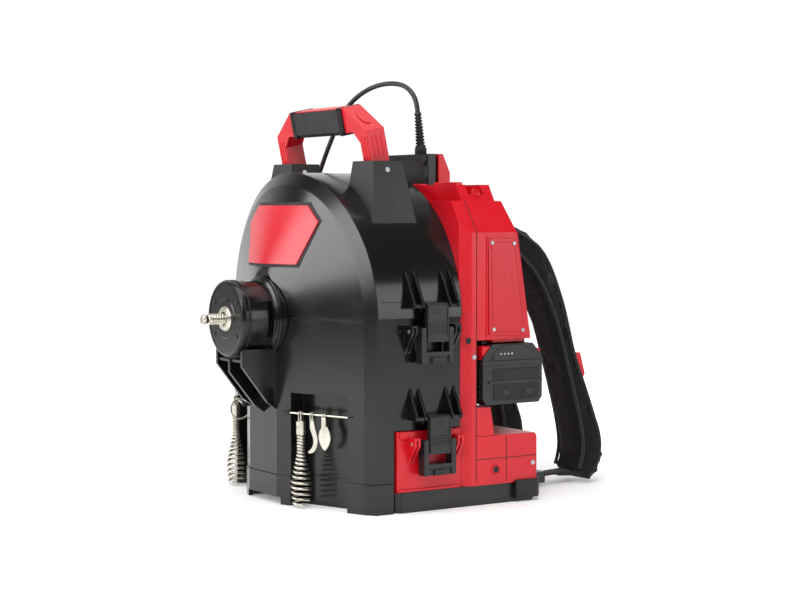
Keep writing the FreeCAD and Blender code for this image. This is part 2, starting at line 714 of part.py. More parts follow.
def flat_cutter(name, along, outline):
    spot = facet_point(along, dim.rod_out)
    blade = place(plate(name + "Blade", "XZ", outline, -1.5, 1.5), spot.x, spot.y, 0, FACET_TURN)
    return hang(name, along, blade)


def tools():
    """Tool rod on each facet, and the cutters and augers that hang from it."""
    end_leg = dim.rod_radius.number + 0.6
    pieces = [facet_bar("RodBar", dim.rod_start, dim.rod_end, dim.rod_radius, dim.rod_out.number,
                        dim.rod_z)]
    for i, along in enumerate((dim.rod_start.number + end_leg, dim.rod_end.number - end_leg)):
        foot = facet_point(along, 0)
        pieces.append(bar(f"RodLeg{i}", dim.rod_radius - 0.1, (foot.x, foot.y, dim.rod_z), FACET_OUT,
                          dim.rod_out))
    rod = fuse("ToolRodRight", *pieces)
    part("tool_rods", group("ToolRods", rod, mirrored("ToolRodLeft", rod)))
    part("funnel_auger_right", funnel_auger("AugerRight", 47))
    hooked = [(-3, 124), (3, 124), (4, 118), (5, 104), (8.5, 96), (8.5, 82), (2, 75), (-7, 77), (-7, 81),
              (0, 82), (3, 87), (3, 93), (-3, 100), (-5, 108)]
    part("c_cutter", flat_cutter("CCutter", 67, hooked))
    spade = [(-3, 124), (3, 124), (4, 118), (5, 108), (10.5, 104), (10.5, 92), (3, 80), (-3, 80),
             (-10.5, 92), (-10.5, 104), (-5, 108)]
    part("spade_cutter", flat_cutter("SpadeCutter", 88, spade))
    part("funnel_auger_left", mirrored("FunnelAugerLeft", funnel_auger("AugerLeft", 104)))
    spot = facet_point(60, dim.rod_out)
    ring = doc.addObject("Part::Torus", "KeyRingLoop")
    ring.Radius1 = 13.8
    ring.Radius2 = 1.3
    place(ring, spot.x, spot.y, dim.rod_z - 10.8, Rotation(AXES["Z"], FACET_ALONG))
    part("key_ring", mirrored("KeyRing", ring))


# ---------------------------------------------------------------- powerbase


def shoulder_cut(name, inset):
    """Wedges that slope the powerbase's shoulders."""
    half, roof_x = dim.base_half - inset, dim.roof_x - inset
    wedge = plate(name + "Wedge", "XZ",
                  [(half, dim.shoulder_z), (half + 40, dim.shoulder_z), (half + 40, 500),
                   (roof_x, 500), (roof_x, dim.roof_z - inset)], -20, 140)
    return fuse(name, wedge, mirrored(name + "Left", wedge))


def powerbase_front_shell():
    """Front half of the column with the cradle that the drum housing stands in."""
    half, split = dim.base_half, dim.shell_split_y
    column = block("ColumnFront", (-half, half), (0, split), (dim.sled_z, dim.roof_z))
    edge = plate("ColumnEdge", "XY", [(half - 10, -1), (half + 5, -1), (half + 5, dim.column_chamfer),
                                      (half, dim.column_chamfer)], 0, 450)
    hollow = block("ColumnHollow", (-half + 12, half - 12), (3, split + 5),
                   (dim.sled_z + 3, dim.roof_z - 4))
    hollow = cut("ColumnHollowShaped", hollow, shoulder_cut("HollowShoulder", 10))
    shaft_hole = bar("ColumnHole", 14, (0, -5, dim.axis_z), AXES["Y"], 12)
    column = cut("ColumnShaped", column, edge, mirrored("ColumnEdgeLeft", edge),
                 shoulder_cut("FrontShoulder", 0), hollow, shaft_hole)
    cradle = block("Cradle", (-dim.half_width - 2, dim.half_width + 2), (dim.seat_front_y, 0),
                   (dim.sled_z, dim.seat_z - 1))
    bay = block("CradleBay", (-dim.seat_half - 1, dim.seat_half + 1), (dim.seat_front_y - 1, 0),
                (dim.seat_floor_z - 3, 200))
    cradle = cut("CradleShaped", cradle, bay)
    ears = cut("CradleEars", latch_ears("Cradle", dim.lower_latch_z, dim.lower_latch_y),
               block("EarTrim", (-190, 190), (-200, 50), (0, 200)))
    return part("powerbase_front_shell", fuse("PowerbaseFront", column, cradle, ears))


def rear_outline(inset):
    """Side view of the rear shell: spine below, control box above, saddle block on top."""
    split = dim.shell_split_y
    return [(split, dim.low_box_z + 0.4 + inset), (52 - inset, dim.low_box_z + 0.4 + inset),
            (44 - inset, 140), (44 - inset, dim.box_low_z + inset),
            (dim.box_back_y - inset, dim.box_low_z + inset), (88 - inset, dim.shoulder_z),
            (dim.box_roof_y - inset, dim.roof_z - inset), (split, dim.roof_z - inset)]


def control_box():
    """Rear shell: spine, control box over the battery, and the saddle that holds the pedal."""
    half = dim.base_half
    body = plate("RearBody", "YZ", rear_outline(0), -half, half)
    hollow = plate("RearHollow", "YZ", rear_outline(3), -half + 3, half - 3)
    hollow = cut("RearHollowShaped", hollow, shoulder_cut("RearHollowShoulder", 3))
    saddle = plate("Saddle", "XZ", symmetric([(dim.saddle_x + 14, dim.roof_z - 1),
                                              (dim.saddle_x, dim.saddle_z)]),
                   dim.shell_split_y, 76)
    pocket = block("SaddlePocket", (-dim.pedal_half - 1.5, dim.pedal_half + 1.5), (33, 73.5),
                   (dim.saddle_floor_z, 460))
    grab = block("SaddleGrab", (128, 160), (36, 62), (416, 460))
    saddle = cut("SaddleShaped", saddle, pocket, grab)
    bay = block("BatteryBay", (60, half + 10), (dim.shell_split_y, 140),
                (dim.battery_low_z - 3, dim.box_low_z))
    bay_wall = block("BatteryBayWall", (57, half + 10), (dim.shell_split_y - 1, 140),
                     (dim.battery_low_z - 6, dim.box_low_z + 3))
    shell = cut("RearShell", body, cut("RearCavity", hollow, bay_wall), bay,
                shoulder_cut("RearShoulder", 0))
    lid = block("BayLid", (57, half - 3), (dim.shell_split_y, 44),
                (dim.box_low_z, dim.box_low_z + 3))
    rail = block("BatteryRail", (dim.battery_end_x - dim.battery_length + 5, half - 4),
                 (dim.battery_y + 22, dim.battery_y + 74),
                 (dim.battery_top_z + 2, dim.box_low_z + 1))
    return part("control_box", fuse("ControlBox", shell, saddle, lid, rail))


def lower_box():
    half, low, high = dim.base_half, dim.sled_z, dim.low_box_z
    outline = [(dim.shell_split_y, low), (dim.low_box_back_y, low), (dim.low_box_back_y, high - 4),
               (dim.low_box_back_y - 4, high), (dim.shell_split_y, high)]
    body = plate("LowerBoxBody", "YZ", outline, -half, half)
    hollow = block("LowerBoxHollow", (-half + 3, half - 3),
                   (dim.shell_split_y, dim.low_box_back_y - 3), (low + 3, high - 3))
    return part("lower_box", cut("LowerBox", body, hollow))


def sled_and_bumpers():
    """Black sled under the powerbase with rubber bumpers round its rear corners."""
    half = dim.half_width + 3
    outline = symmetric([(half - 6, dim.seat_front_y), (half, dim.seat_front_y + 8), (half, 118),
                         (half - 10, 128)])
    sled = plate("BaseSled", "XY", outline, 0, dim.sled_z)
    part("base_sled", sled)
    bumper = plate("BumperBody", "XY", [(160, 118), (184, 118), (184, 86), (204, 86), (204, 122),
                                        (194, 132), (160, 132)], 5, 30)
    bumper = cut("BumperRight", bumper, sled,
                 block("BumperTrim", (-220, dim.base_half), (0, dim.low_box_back_y), (20, 100)))
    part("corner_bumpers", group("CornerBumpers", bumper, mirrored("BumperLeft", bumper)))


def label_plates():
    outline = [(40, 358), (87, 358), (105, 226), (42, 229)]
    half = dim.base_half
    plate_right = plate("LabelRight", "YZ", outline, half, half + 2)
    shoulder = shoulder_cut("LabelShoulder", -2.2)
    right = cut("LabelTrimmed", plate_right, shoulder)
    part("label_plates", group("LabelPlates", right, mirrored("LabelLeft", right)))


def case_screws():
    """Visible screws: label corners, towers and column, all the same pan head."""
    screws = []
    half = dim.base_half + 2
    for i, (y, z) in enumerate(((46, 352), (82, 351), (97, 234), (49, 236))):
        screws.append(bar(f"LabelScrew{i}", 2.6, (half, y, z), AXES["X"], 1.2))
    screws.append(bar("ColumnScrew", 3.2, (dim.base_half, 18, 200), AXES["X"], 1.2))
    mirrored_screws = [mirrored(s.Name + "Left", s) for s in screws]
    screws.append(bar("BoxScrew", 3.2, (dim.base_half, 116, 52), AXES["X"], 1.2))
    screws.append(bar("TowerScrewOuter", 3.4, (137.3, dim.handle_y, 449), Vector(84, 0, 15), 1.6))
    screws.append(bar("TowerScrewInner", 3.4, (-81.7, dim.handle_y, 449), Vector(84, 0, 8), 1.6))
    part("case_screws", group("CaseScrews", *screws, *mirrored_screws))


# ---------------------------------------------------------------- battery


def battery():
    """Slide-on battery: two case halves, ten cells, and a release button on each flank."""
    near, far = dim.battery_y, dim.battery_y + dim.battery_width
    low, seam, top = dim.battery_low_z, dim.battery_seam_z, dim.battery_top_z
    outer, inner = dim.battery_end_x, dim.battery_end_x - dim.battery_length
    bottom = plate("BatteryTub", "YZ", [(near, seam), (near, low + 8), (near + 6, low),
                                        (far - 6, low), (far, low + 8), (far, seam)], inner, outer)
    well = block("BatteryWell", (inner + 3, outer - 3), (near + 3, far - 3), (low + 3, seam + 1))
    part("battery_case_bottom", cut("BatteryCaseBottom", bottom, well))
    lid = plate("BatteryLid", "YZ", [(near, seam + 0.2), (far, seam + 0.2), (far, seam + 6),
                                     (far - 16, top), (near + 16, top), (near, seam + 6)],
                inner, outer)
    rails = [block(f"BatteryRail{i}", (inner + 5, outer - 20), (near + a, near + b),
                   (top - 2, top + 5)) for i, (a, b) in enumerate(((12, 21.4), (74.6, 84)))]
    button_room = [block(f"ButtonRoom{i}", (outer - 31, outer - 3), (a, b), (seam + 2, seam + 17))
                   for i, (a, b) in enumerate(((near - 1, near + 14), (far - 14, far + 1)))]
    part("battery_case_top", cut("BatteryCaseTop", fuse("BatteryLidRails", lid, *rails),
                                 *button_room))
    cells = []
    for layer in range(2):
        for column in range(5):
            cells.append(bar(f"Cell{layer}{column}", 10.4,
                             (inner + 17 + column * 26, near + 13, low + 14.5 + layer * 22.5),
                             AXES["Y"], 70))
    part("battery_cells", group("BatteryCells", *cells))
    for node, a, b in (("battery_button_front", near + 1, near + 10.5),
                       ("battery_button_rear", far - 10.5, far - 1)):
        part(node, block(node.title().replace("_", ""), (outer - 30, outer - 4), (a, b),
                         (seam + 3, seam + 16)))


# ---------------------------------------------------------------- pedal and its lead


def pedal():
    """Foot pedal standing in the saddle: black base in front, red treadle behind it."""
    half, front = dim.pedal_half, dim.pedal_y
    low, high = dim.pedal_low_z, dim.pedal_high_z
    pin_y, pin_z = dim.pedal_pin_y, dim.pedal_pin_z
    base = block("PedalFoot", (-half, half), (front, front + 12), (low, high))
    core = block("PedalCore", (-half + 7, half - 7), (front + 12, front + 18.5), (low + 4, high - 4))
    lugs = []
    for i, x in enumerate((-50, 38)):
        lugs.append(block(f"PedalLug{i}", (x, x + 12), (front + 18, pin_y), (low + 4, low + 12)))
        lugs.append(bar(f"PedalLugEnd{i}", 4, (x, pin_y, pin_z), AXES["X"], 12))
    pin_hole = bar("PedalPinHole", 2, (-80, pin_y, pin_z), AXES["X"], 160)
    part("pedal_base", cut("PedalBase", fuse("PedalBasePieces", base, core, *lugs), pin_hole))
    outline = [(front + 17, low + 1.2), (front + 32, low + 1.2), (front + 36, low + 7),
               (front + 36, low + 34),
               (front + 24, high), (front + 17, high)]
    cap = plate("PedalCap", "YZ", outline, -half, half)
    cavity = plate("PedalCavity", "YZ", [(front + 10, low + 4), (front + 30, low + 4),
                                         (front + 32.5, low + 8), (front + 32.5, low + 33),
                                         (front + 23, high - 3), (front + 10, high - 3)],
                   -half + 3.5, half - 3.5)
    swing = bar("PedalSwingHole", 2.05, (-80, pin_y, pin_z), AXES["X"], 160)
    part("pedal_plate", cut("PedalPlate", cap, cavity, swing))
    part("pedal_pin", bar("PedalPin", 2, (-half + 0.5, pin_y, pin_z), AXES["X"], 2 * half - 1))
    part("pedal_spring", bar("PedalSpring", 4, (0, front + 18.7, 450), AXES["Y"], 8))


CORD_EXIT = (29.0, 41.5, 532.0)
CORD_UP_AND_OVER = [
    CORD_EXIT, (27.1, 40.9, 547.0), (19.4, 38.5, 560.9), (7.4, 34.8, 570.7), (-7.3, 30.3, 575.0),
    (-26.4, 24.3, 576.0), (-47.4, 17.8, 573.0), (-68.4, 11.3, 565.5), (-87.5, 5.4, 554.0),
    (-103.7, 0.4, 538.5), (-116.2, -3.5, 519.5), (-127.0, -7.0, 499.0), (-138.0, -10.0, 478.0),
    (-151.0, -13.0, 452.0), (-166.0, -15.5, 424.0), (-181.0, -16.0, 392.0), (-195.0, -13.5, 354.0),
    (-206.0, -8.0, 310.0), (-214.5, -0.5, 260.0), (-220.0, 6.0, 205.0), (-222.5, 10.0, 150.0),
    (-223.5, 12.5, 98.0), (-224.0, 13.8, 60.0), (-224.2, 14.2, 37.2), (-230.6, 14.6, 21.7),
    (-242.4, 15.0, 9.9), (-257.8, 15.4, 3.6), (-277.0, 16.2, 3.5), (-297.0, 17.0, 3.5)]
CORD_COIL_TO_GLAND = [
    (-297.0, 95.0, 10.5), (-283.0, 95.0, 10.6), (-269.5, 95.2, 15.2), (-258.3, 95.4, 24.2),
    (-250.7, 95.4, 36.3), (-239.5, 95.2, 45.2), (-226.0, 95.0, 50.0), (-212.0, 95.0, 50.1)]
COIL_CENTRE = (-297.0, 56.0)
COIL_RADIUS = 39.0


def cord_tube(name, route):
    """A round tube along straight runs joined by tangent arcs as large as the runs allow."""
    points = [Vector(*p) for p in route]
    edges = []
    radii = []
    at = points[0]
    for before, corner, after in zip(points, points[1:], points[2:]):
        into = (corner - before).normalize()
        onward = (after - corner).normalize()
        half_turn = into.getAngle(onward) / 2
        cut_back = 0.45 * min((corner - before).Length, (after - corner).Length)
        radii.append(cut_back / math.tan(half_turn))
        start = corner - into * cut_back
        end = corner + onward * cut_back
        inward = (onward - into).normalize()
        middle = corner + inward * (radii[-1] / math.cos(half_turn) - radii[-1])
        edges.append(Part.LineSegment(at, start).toShape())
        edges.append(Part.Arc(start, middle, end).toShape())
        at = end
    edges.append(Part.LineSegment(at, points[-1]).toShape())
    path = Part.Wire(edges)
    radius = dim.cord_radius.number
    ring = Part.Wire(Part.Circle(points[0], (points[1] - points[0]).normalize(), radius).toShape())
    tube = path.makePipeShell([ring], True, False)
    expected = math.pi * radius ** 2 * path.Length
    print(f"{name}: length {path.Length:.0f}, least radius {min(radii):.1f}, "
          f"volume / expected {tube.Volume / expected:.4f}")
    return shape_feature(name, tube)


def pedal_lead():
    """Strain relief, the lead over and down the left side, its coil and its entry gland."""
    nut_y, nut_x = 43, 34
    nut = doc.addObject("Part::Prism", "GlandNut")
    nut.Polygon = 6
    nut.Circumradius = 8.6
    nut.Height = 9
    place(nut, nut_x, nut_y, dim.pedal_high_z)
    foot = Vector(nut_x, nut_y, dim.pedal_high_z.number + 9)
    lean = Vector(*CORD_EXIT) - foot
    sleeve = taper("StrainSleeve", 6.6, 5.0, tuple(foot), lean, lean.Length)
    seat = bar("StrainSeat", 7.4, (nut_x, nut_y, dim.pedal_high_z + 8), AXES["Z"], 3.5)
    part("pedal_strain_relief", fuse("PedalStrainRelief", nut, seat, sleeve))
    tubes = [cord_tube("CordOver", CORD_UP_AND_OVER), cord_tube("CordIn", CORD_COIL_TO_GLAND)]
    part("pedal_cord", group("PedalCord", *tubes))
    reach = 2 * dim.cord_radius
    ring = [(COIL_RADIUS - reach, 2), (COIL_RADIUS - reach + 2, 0), (COIL_RADIUS + reach - 2, 0),
            (COIL_RADIUS + reach, 2), (COIL_RADIUS + reach, 12), (COIL_RADIUS + reach - 2, 14),
            (COIL_RADIUS - reach + 2, 14), (COIL_RADIUS - reach, 12)]
    part("cord_coil", upright(turned("CordCoil", ring), *COIL_CENTRE, 0))
    end = CORD_COIL_TO_GLAND[-1]
    part("cord_gland", taper("CordGland", 6, 8.5, end, AXES["X"], -dim.base_half - end[0]))


# ---------------------------------------------------------------- harness


def harness():
    """Padded shoulder straps, back pad, lower webbing and its hardware."""
    outer = [(94.6, 391), (130, 375), (165, 360), (200, 334), (229, 268), (241, 225), (250, 192),
             (265, 155), (276, 129), (289, 95), (298, 72), (300, 45), (290, 20), (276, 8)]
    inner = [(257, 24), (264, 45), (257, 90), (240, 149), (229, 185), (217, 226), (202, 262),
             (181, 300), (150, 330), (120, 350), (94.6, 362)]
    strap = plate("StrapRight", "YZ", outer + inner, dim.strap_in_x, dim.strap_out_x)
    part("shoulder_straps", group("ShoulderStraps", strap, mirrored("StrapLeft", strap)))
    part("back_pad", plate("BackPad", "YZ", [(111.7, 228), (129, 230), (113, 336), (95.2, 336)],
                           -120, 120))
    webbing = plate("WebbingRight", "YZ", [(128.5, 10), (256, 16), (256, 19), (128.5, 13)], 82, 108)
    part("lower_webbing", group("LowerWebbing", webbing, mirrored("WebbingLeft", webbing)))
    frame = plate("BuckleBody", "YZ", [(172, 4), (204, 6), (204, 22), (172, 20)], 76, 114)
    slot = plate("BuckleSlot", "YZ", [(162, 10.6), (212, 12.9), (212, 17.9), (162, 15.4)], 81, 109)
    buckle = cut("BuckleRight", frame, slot)
    anchor = plate("AnchorRight", "YZ", [(89.3, 372), (94, 372), (94, 386), (86.6, 386)], 68, 122)
    pieces = [buckle, anchor]
    pieces += [mirrored(piece.Name + "Left", piece) for piece in pieces]
    part("strap_hardware", group("StrapHardware", *pieces))


# ---------------------------------------------------------------- build and export

base_tray()
lower_shell()
upper_shell()
latch_ledges()
front_badge()
snout()
snout_bracket()
carry_handle()
drum()
motor()
cable_end()
latches()
tools()
powerbase_front_shell()
control_box()
lower_box()
sled_and_bumpers()
label_plates()
case_screws()
battery()
pedal()
pedal_lead()
harness()

doc.recompute()
faults = [f"{o.Label}: {o.State}" for o in doc.Objects if {"Invalid", "Error"} & set(o.State)]
for node, obj in sub_parts.items():
    if obj.Shape.isNull() or not obj.Shape.isValid() or not obj.Shape.Solids:
        faults.append(f"{node}: no valid solid")
if faults:
    raise RuntimeError("; ".join(faults))
os.makedirs("parts", exist_ok=True)
for node, obj in sub_parts.items():
    obj.Shape.exportStep(f"parts/{node}.step")
print(len(sub_parts), "sub-parts written")
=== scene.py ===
import math

import bmesh
import bpy
from mathutils import Matrix, Vector
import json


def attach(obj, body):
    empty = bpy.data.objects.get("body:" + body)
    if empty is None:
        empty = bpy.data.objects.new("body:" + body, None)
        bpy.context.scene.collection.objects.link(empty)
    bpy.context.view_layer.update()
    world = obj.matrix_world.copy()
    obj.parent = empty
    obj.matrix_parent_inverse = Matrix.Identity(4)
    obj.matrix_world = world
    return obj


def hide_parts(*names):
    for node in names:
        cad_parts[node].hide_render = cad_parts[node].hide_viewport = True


# Backpack drum drain cleaner.  Metres, +Z up, the cable leaves towards -Y, the floor is Z=0.

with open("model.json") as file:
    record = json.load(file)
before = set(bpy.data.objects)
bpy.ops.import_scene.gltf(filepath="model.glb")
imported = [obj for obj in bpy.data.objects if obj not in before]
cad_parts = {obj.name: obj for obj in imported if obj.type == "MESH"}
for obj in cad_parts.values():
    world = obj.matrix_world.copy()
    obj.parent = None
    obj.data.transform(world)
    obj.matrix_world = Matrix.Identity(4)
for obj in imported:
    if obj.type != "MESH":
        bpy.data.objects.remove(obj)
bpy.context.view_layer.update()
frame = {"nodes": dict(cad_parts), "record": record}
MM = 0.001
BODY_OF = {node: body for body, nodes in frame["record"]["behaviour"]["bodies"].items()
           for node in nodes}
SLOT_OF = {row["node"]: row["material_slot"] for row in frame["record"]["subparts"]}
X, Y, Z = Vector((1, 0, 0)), Vector((0, 1, 0)), Vector((0, 0, 1))


# ---------------------------------------------------------------- camera

CAMERA_AZIMUTH = math.radians(57)
CAMERA_ELEVATION = math.radians(2.88)
CAMERA_DISTANCE = 2.556
CAMERA_TARGET = Vector((0, 0.0304, 0.2675))


def add_camera():
    """A long lens at the height of the machine's middle, well round to its battery side."""
    back = Vector((math.sin(CAMERA_AZIMUTH) * math.cos(CAMERA_ELEVATION),
                   -math.cos(CAMERA_AZIMUTH) * math.cos(CAMERA_ELEVATION),
                   math.sin(CAMERA_ELEVATION)))
    data = bpy.data.cameras.new("Camera")
    data.lens = 80.64
    data.sensor_width = 36
    camera = bpy.data.objects.new("Camera", data)
    camera.location = CAMERA_TARGET + back * CAMERA_DISTANCE
    camera.rotation_mode = "QUATERNION"
    camera.rotation_quaternion = (-back).to_track_quat("-Z", "Y")
    bpy.context.scene.collection.objects.link(camera)
    bpy.context.scene.camera = camera


add_camera()


# ---------------------------------------------------------------- pedal lead

LEAD_DIAMETER = 0.007
LEAD_EXIT = (0.029, 0.0415, 0.532)
LEAD_UP_AND_OVER = [
    LEAD_EXIT, (0.0271, 0.0409, 0.547), (0.0194, 0.0385, 0.5609), (0.0074, 0.0348, 0.5707),
    (-0.0073, 0.0303, 0.575), (-0.0264, 0.0243, 0.576), (-0.0474, 0.0178, 0.573),
    (-0.0684, 0.0113, 0.5655), (-0.0875, 0.0054, 0.554), (-0.1037, 0.0004, 0.5385),
    (-0.1162, -0.0035, 0.5195), (-0.127, -0.007, 0.499), (-0.138, -0.010, 0.478),
    (-0.151, -0.013, 0.452), (-0.166, -0.0155, 0.424), (-0.181, -0.016, 0.392),
    (-0.195, -0.0135, 0.354), (-0.206, -0.008, 0.310), (-0.2145, -0.0005, 0.260),
    (-0.220, 0.006, 0.205), (-0.2225, 0.010, 0.150), (-0.2235, 0.0125, 0.098),
    (-0.224, 0.0138, 0.060), (-0.2242, 0.0142, 0.0372), (-0.2306, 0.0140, 0.0217),
    (-0.2424, 0.0137, 0.0099), (-0.2578, 0.0135, 0.0036), (-0.277, 0.0135, 0.0035)]
LEAD_COIL_TO_GLAND = [
    (-0.283, 0.0985, 0.0106), (-0.2695, 0.0975, 0.0152), (-0.2583, 0.0965, 0.0242),
    (-0.2507, 0.0958, 0.0363), (-0.2395, 0.0953, 0.0452), (-0.226, 0.095, 0.050),
    (-0.212, 0.095, 0.0501)]
COIL_CENTRE = (-0.297, 0.056)
COIL_OUTER, COIL_INNER = 0.0425, 0.0355
COIL_LOW, COIL_HIGH = 0.0035, 0.0105
COIL_DEGREES = 1260
COIL_STEP = 22.5


def ramp(value, start, end, low, high):
    """From low to high as value goes from start to end, easing in and out."""
    share = min(1.0, max(0.0, (value - start) / (end - start)))
    return low + (high - low) * share * share * (3 - 2 * share)


def coil_points():
    """Two turns on the floor, outer then inner, and one and a half turns on top of them."""
    points = []
    for i in range(int(COIL_DEGREES / COIL_STEP) + 1):
        turned = i * COIL_STEP
        radius = ramp(turned, 300, 360, COIL_OUTER, COIL_INNER)
        radius += ramp(turned, 900, 960, 0, COIL_OUTER - COIL_INNER)
        height = ramp(turned, 600, 660, COIL_LOW, COIL_HIGH)
        angle = math.radians(-90 - turned)
        points.append((COIL_CENTRE[0] + radius * math.cos(angle),
                       COIL_CENTRE[1] + radius * math.sin(angle), height))
    return points


def spline_curve(name, points, thickness, closed=False):
    """A round cord along a smooth NURBS line with these control points."""
    data = bpy.data.curves.new(name, "CURVE")
    data.dimensions = "3D"
    data.bevel_depth = 1
    data.bevel_resolution = 4
    data.resolution_u = 8
    data.use_fill_caps = True
    spline = data.splines.new("NURBS")
    spline.points.add(len(points) - 1)
    for place, point in zip(spline.points, points):
        place.co = (*point, 1)
        place.radius = thickness / 2
    spline.order_u = 3
    spline.use_endpoint_u = not closed
    spline.use_cyclic_u = closed
    curve = bpy.data.objects.new(name, data)
    bpy.context.scene.collection.objects.link(curve)
    return curve


lead = spline_curve("pedal_lead", LEAD_UP_AND_OVER + coil_points() + LEAD_COIL_TO_GLAND,
                    LEAD_DIAMETER)
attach(lead, "machine")
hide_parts("pedal_cord", "cord_coil")


# ---------------------------------------------------------------- materials


class Finish:
    """A material and the few node steps that the finishes below share."""

    def __init__(self, name, colour, roughness, edge=0.0011, **sockets):
        self.material = bpy.data.materials.new(name)
        self.material.use_nodes = True
        self.nodes = self.material.node_tree.nodes
        self.links = self.material.node_tree.links
        self.shader = self.nodes["Principled BSDF"]
        self.shader.inputs["Base Color"].default_value = (*colour, 1)
        self.shader.inputs["Roughness"].default_value = roughness
        for socket, value in sockets.items():
            self.shader.inputs[socket.replace("_", " ")].default_value = value
        self.place = self.nodes.new("ShaderNodeTexCoord").outputs["Object"]
        rounding = self.nodes.new("ShaderNodeBevel")
        rounding.samples = 4
        rounding.inputs["Radius"].default_value = edge
        self.height = rounding.outputs["Normal"]

    def stretched(self, scale):
        """Object coordinates stretched by scale, for brushed or ribbed patterns."""
        node = self.nodes.new("ShaderNodeMapping")
        node.inputs["Scale"].default_value = scale
        self.links.new(self.place, node.inputs["Vector"])
        return node.outputs["Vector"]

    def noise(self, scale, detail=3.0, stretch=(1, 1, 1)):
        node = self.nodes.new("ShaderNodeTexNoise")
        node.inputs["Scale"].default_value = scale
        node.inputs["Detail"].default_value = detail
        self.links.new(self.stretched(stretch), node.inputs["Vector"])
        return node.outputs["Fac"]

    def cells(self, scale):
        node = self.nodes.new("ShaderNodeTexVoronoi")
        node.inputs["Scale"].default_value = scale
        self.links.new(self.place, node.inputs["Vector"])
        return node.outputs["Distance"]

    def wave(self, scale, direction, distortion=0.0):
        node = self.nodes.new("ShaderNodeTexWave")
        node.bands_direction = direction
        node.inputs["Scale"].default_value = scale
        node.inputs["Distortion"].default_value = distortion
        self.links.new(self.place, node.inputs["Vector"])
        return node.outputs["Fac"]

    def spread(self, value, low, high, start=0.3, end=0.7):
        """Maps a pattern's start..end onto low..high."""
        node = self.nodes.new("ShaderNodeMapRange")
        for socket, number in (("From Min", start), ("From Max", end), ("To Min", low),
                               ("To Max", high)):
            node.inputs[socket].default_value = number
        self.links.new(value, node.inputs["Value"])
        return node.outputs["Result"]

    def mottle(self, pattern, dark, light):
        """Base colour between two near shades, by a pattern."""
        node = self.nodes.new("ShaderNodeMix")
        node.data_type = "RGBA"
        node.inputs["A"].default_value = (*dark, 1)
        node.inputs["B"].default_value = (*light, 1)
        self.links.new(pattern, node.inputs["Factor"])
        self.links.new(node.outputs["Result"], self.shader.inputs["Base Color"])
        return self

    def sheen_by(self, pattern, low, high):
        """Roughness between low and high, by a pattern."""
        self.links.new(self.spread(pattern, low, high), self.shader.inputs["Roughness"])
        return self

    def bump(self, pattern, depth, strength=1.0):
        """Adds relief of a depth in metres; calls stack."""
        node = self.nodes.new("ShaderNodeBump")
        node.inputs["Distance"].default_value = depth
        node.inputs["Strength"].default_value = strength
        self.links.new(pattern, node.inputs["Height"])
        self.links.new(self.height, node.inputs["Normal"])
        self.height = node.outputs["Normal"]
        self.links.new(self.height, self.shader.inputs["Normal"])
        return self


def tint(colour, factor):
    return tuple(min(1.0, c * factor) for c in colour)


def plastic(name, colour, roughness, grain_depth, grain_scale=900, shade=0.12, **sockets):
    """Moulded plastic: faint flow marks in the colour, handled patches, moulded grain."""
    made = Finish(name, colour, roughness, **sockets)
    flow = made.noise(9, 4)
    made.mottle(made.spread(flow, 0, 1), tint(colour, 1 - shade), tint(colour, 1 + shade))
    made.sheen_by(made.noise(28, 5), roughness * 0.88, roughness * 1.14)
    made.bump(made.noise(6, 1), 0.0006, 0.25)
    made.bump(made.noise(grain_scale, 2), grain_depth)
    return made.material


def metal(name, colour, roughness, stretch=(1, 1, 40)):
    """Plated wire and sheet: drawn lines, and darker spots where the plating is thin."""
    made = Finish(name, colour, roughness, Metallic=1.0)
    made.mottle(made.spread(made.noise(60, 4), 0, 1, 0.35, 0.6), tint(colour, 0.72), colour)
    made.sheen_by(made.noise(240, 3, stretch), roughness * 0.75, roughness * 1.3)
    made.bump(made.noise(1500, 2, stretch), 0.00003)
    return made.material


def mesh_fabric(name, colour):
    """Air-mesh cover: small open cells over a crossed knit, with a soft sheen."""
    made = Finish(name, colour, 0.85, Sheen_Weight=0.12, Sheen_Roughness=0.4,
                  Specular_IOR_Level=0.2)
    cells = made.cells(430)
    # Painted shade and highlight: the colour is darker in each cell's hollow and lighter on the
    # knit between cells, following the cell bump.
    made.mottle(made.spread(cells, 0, 1, 0.05, 0.6), tint(colour, 0.45), tint(colour, 1.5))
    made.bump(cells, 0.0006)
    made.bump(made.noise(25, 4), 0.002, 0.5)
    return made.material


def ribbed_webbing(name, colour):
    """Woven tape: fine ribs along it, crossed by the weft."""
    made = Finish(name, colour, 0.7, Sheen_Weight=0.12, Sheen_Roughness=0.4)
    ribs = made.wave(230, "X")
    weft = made.wave(420, "Y", 1.0)
    # Painted shade and highlight: the colour is darker in the troughs between ribs and lighter on
    # their crests, following the rib bump.
    made.mottle(made.spread(ribs, 0, 1, 0.0, 1.0), tint(colour, 0.55), tint(colour, 1.4))
    made.bump(ribs, 0.0004)
    made.bump(weft, 0.0002)
    return made.material


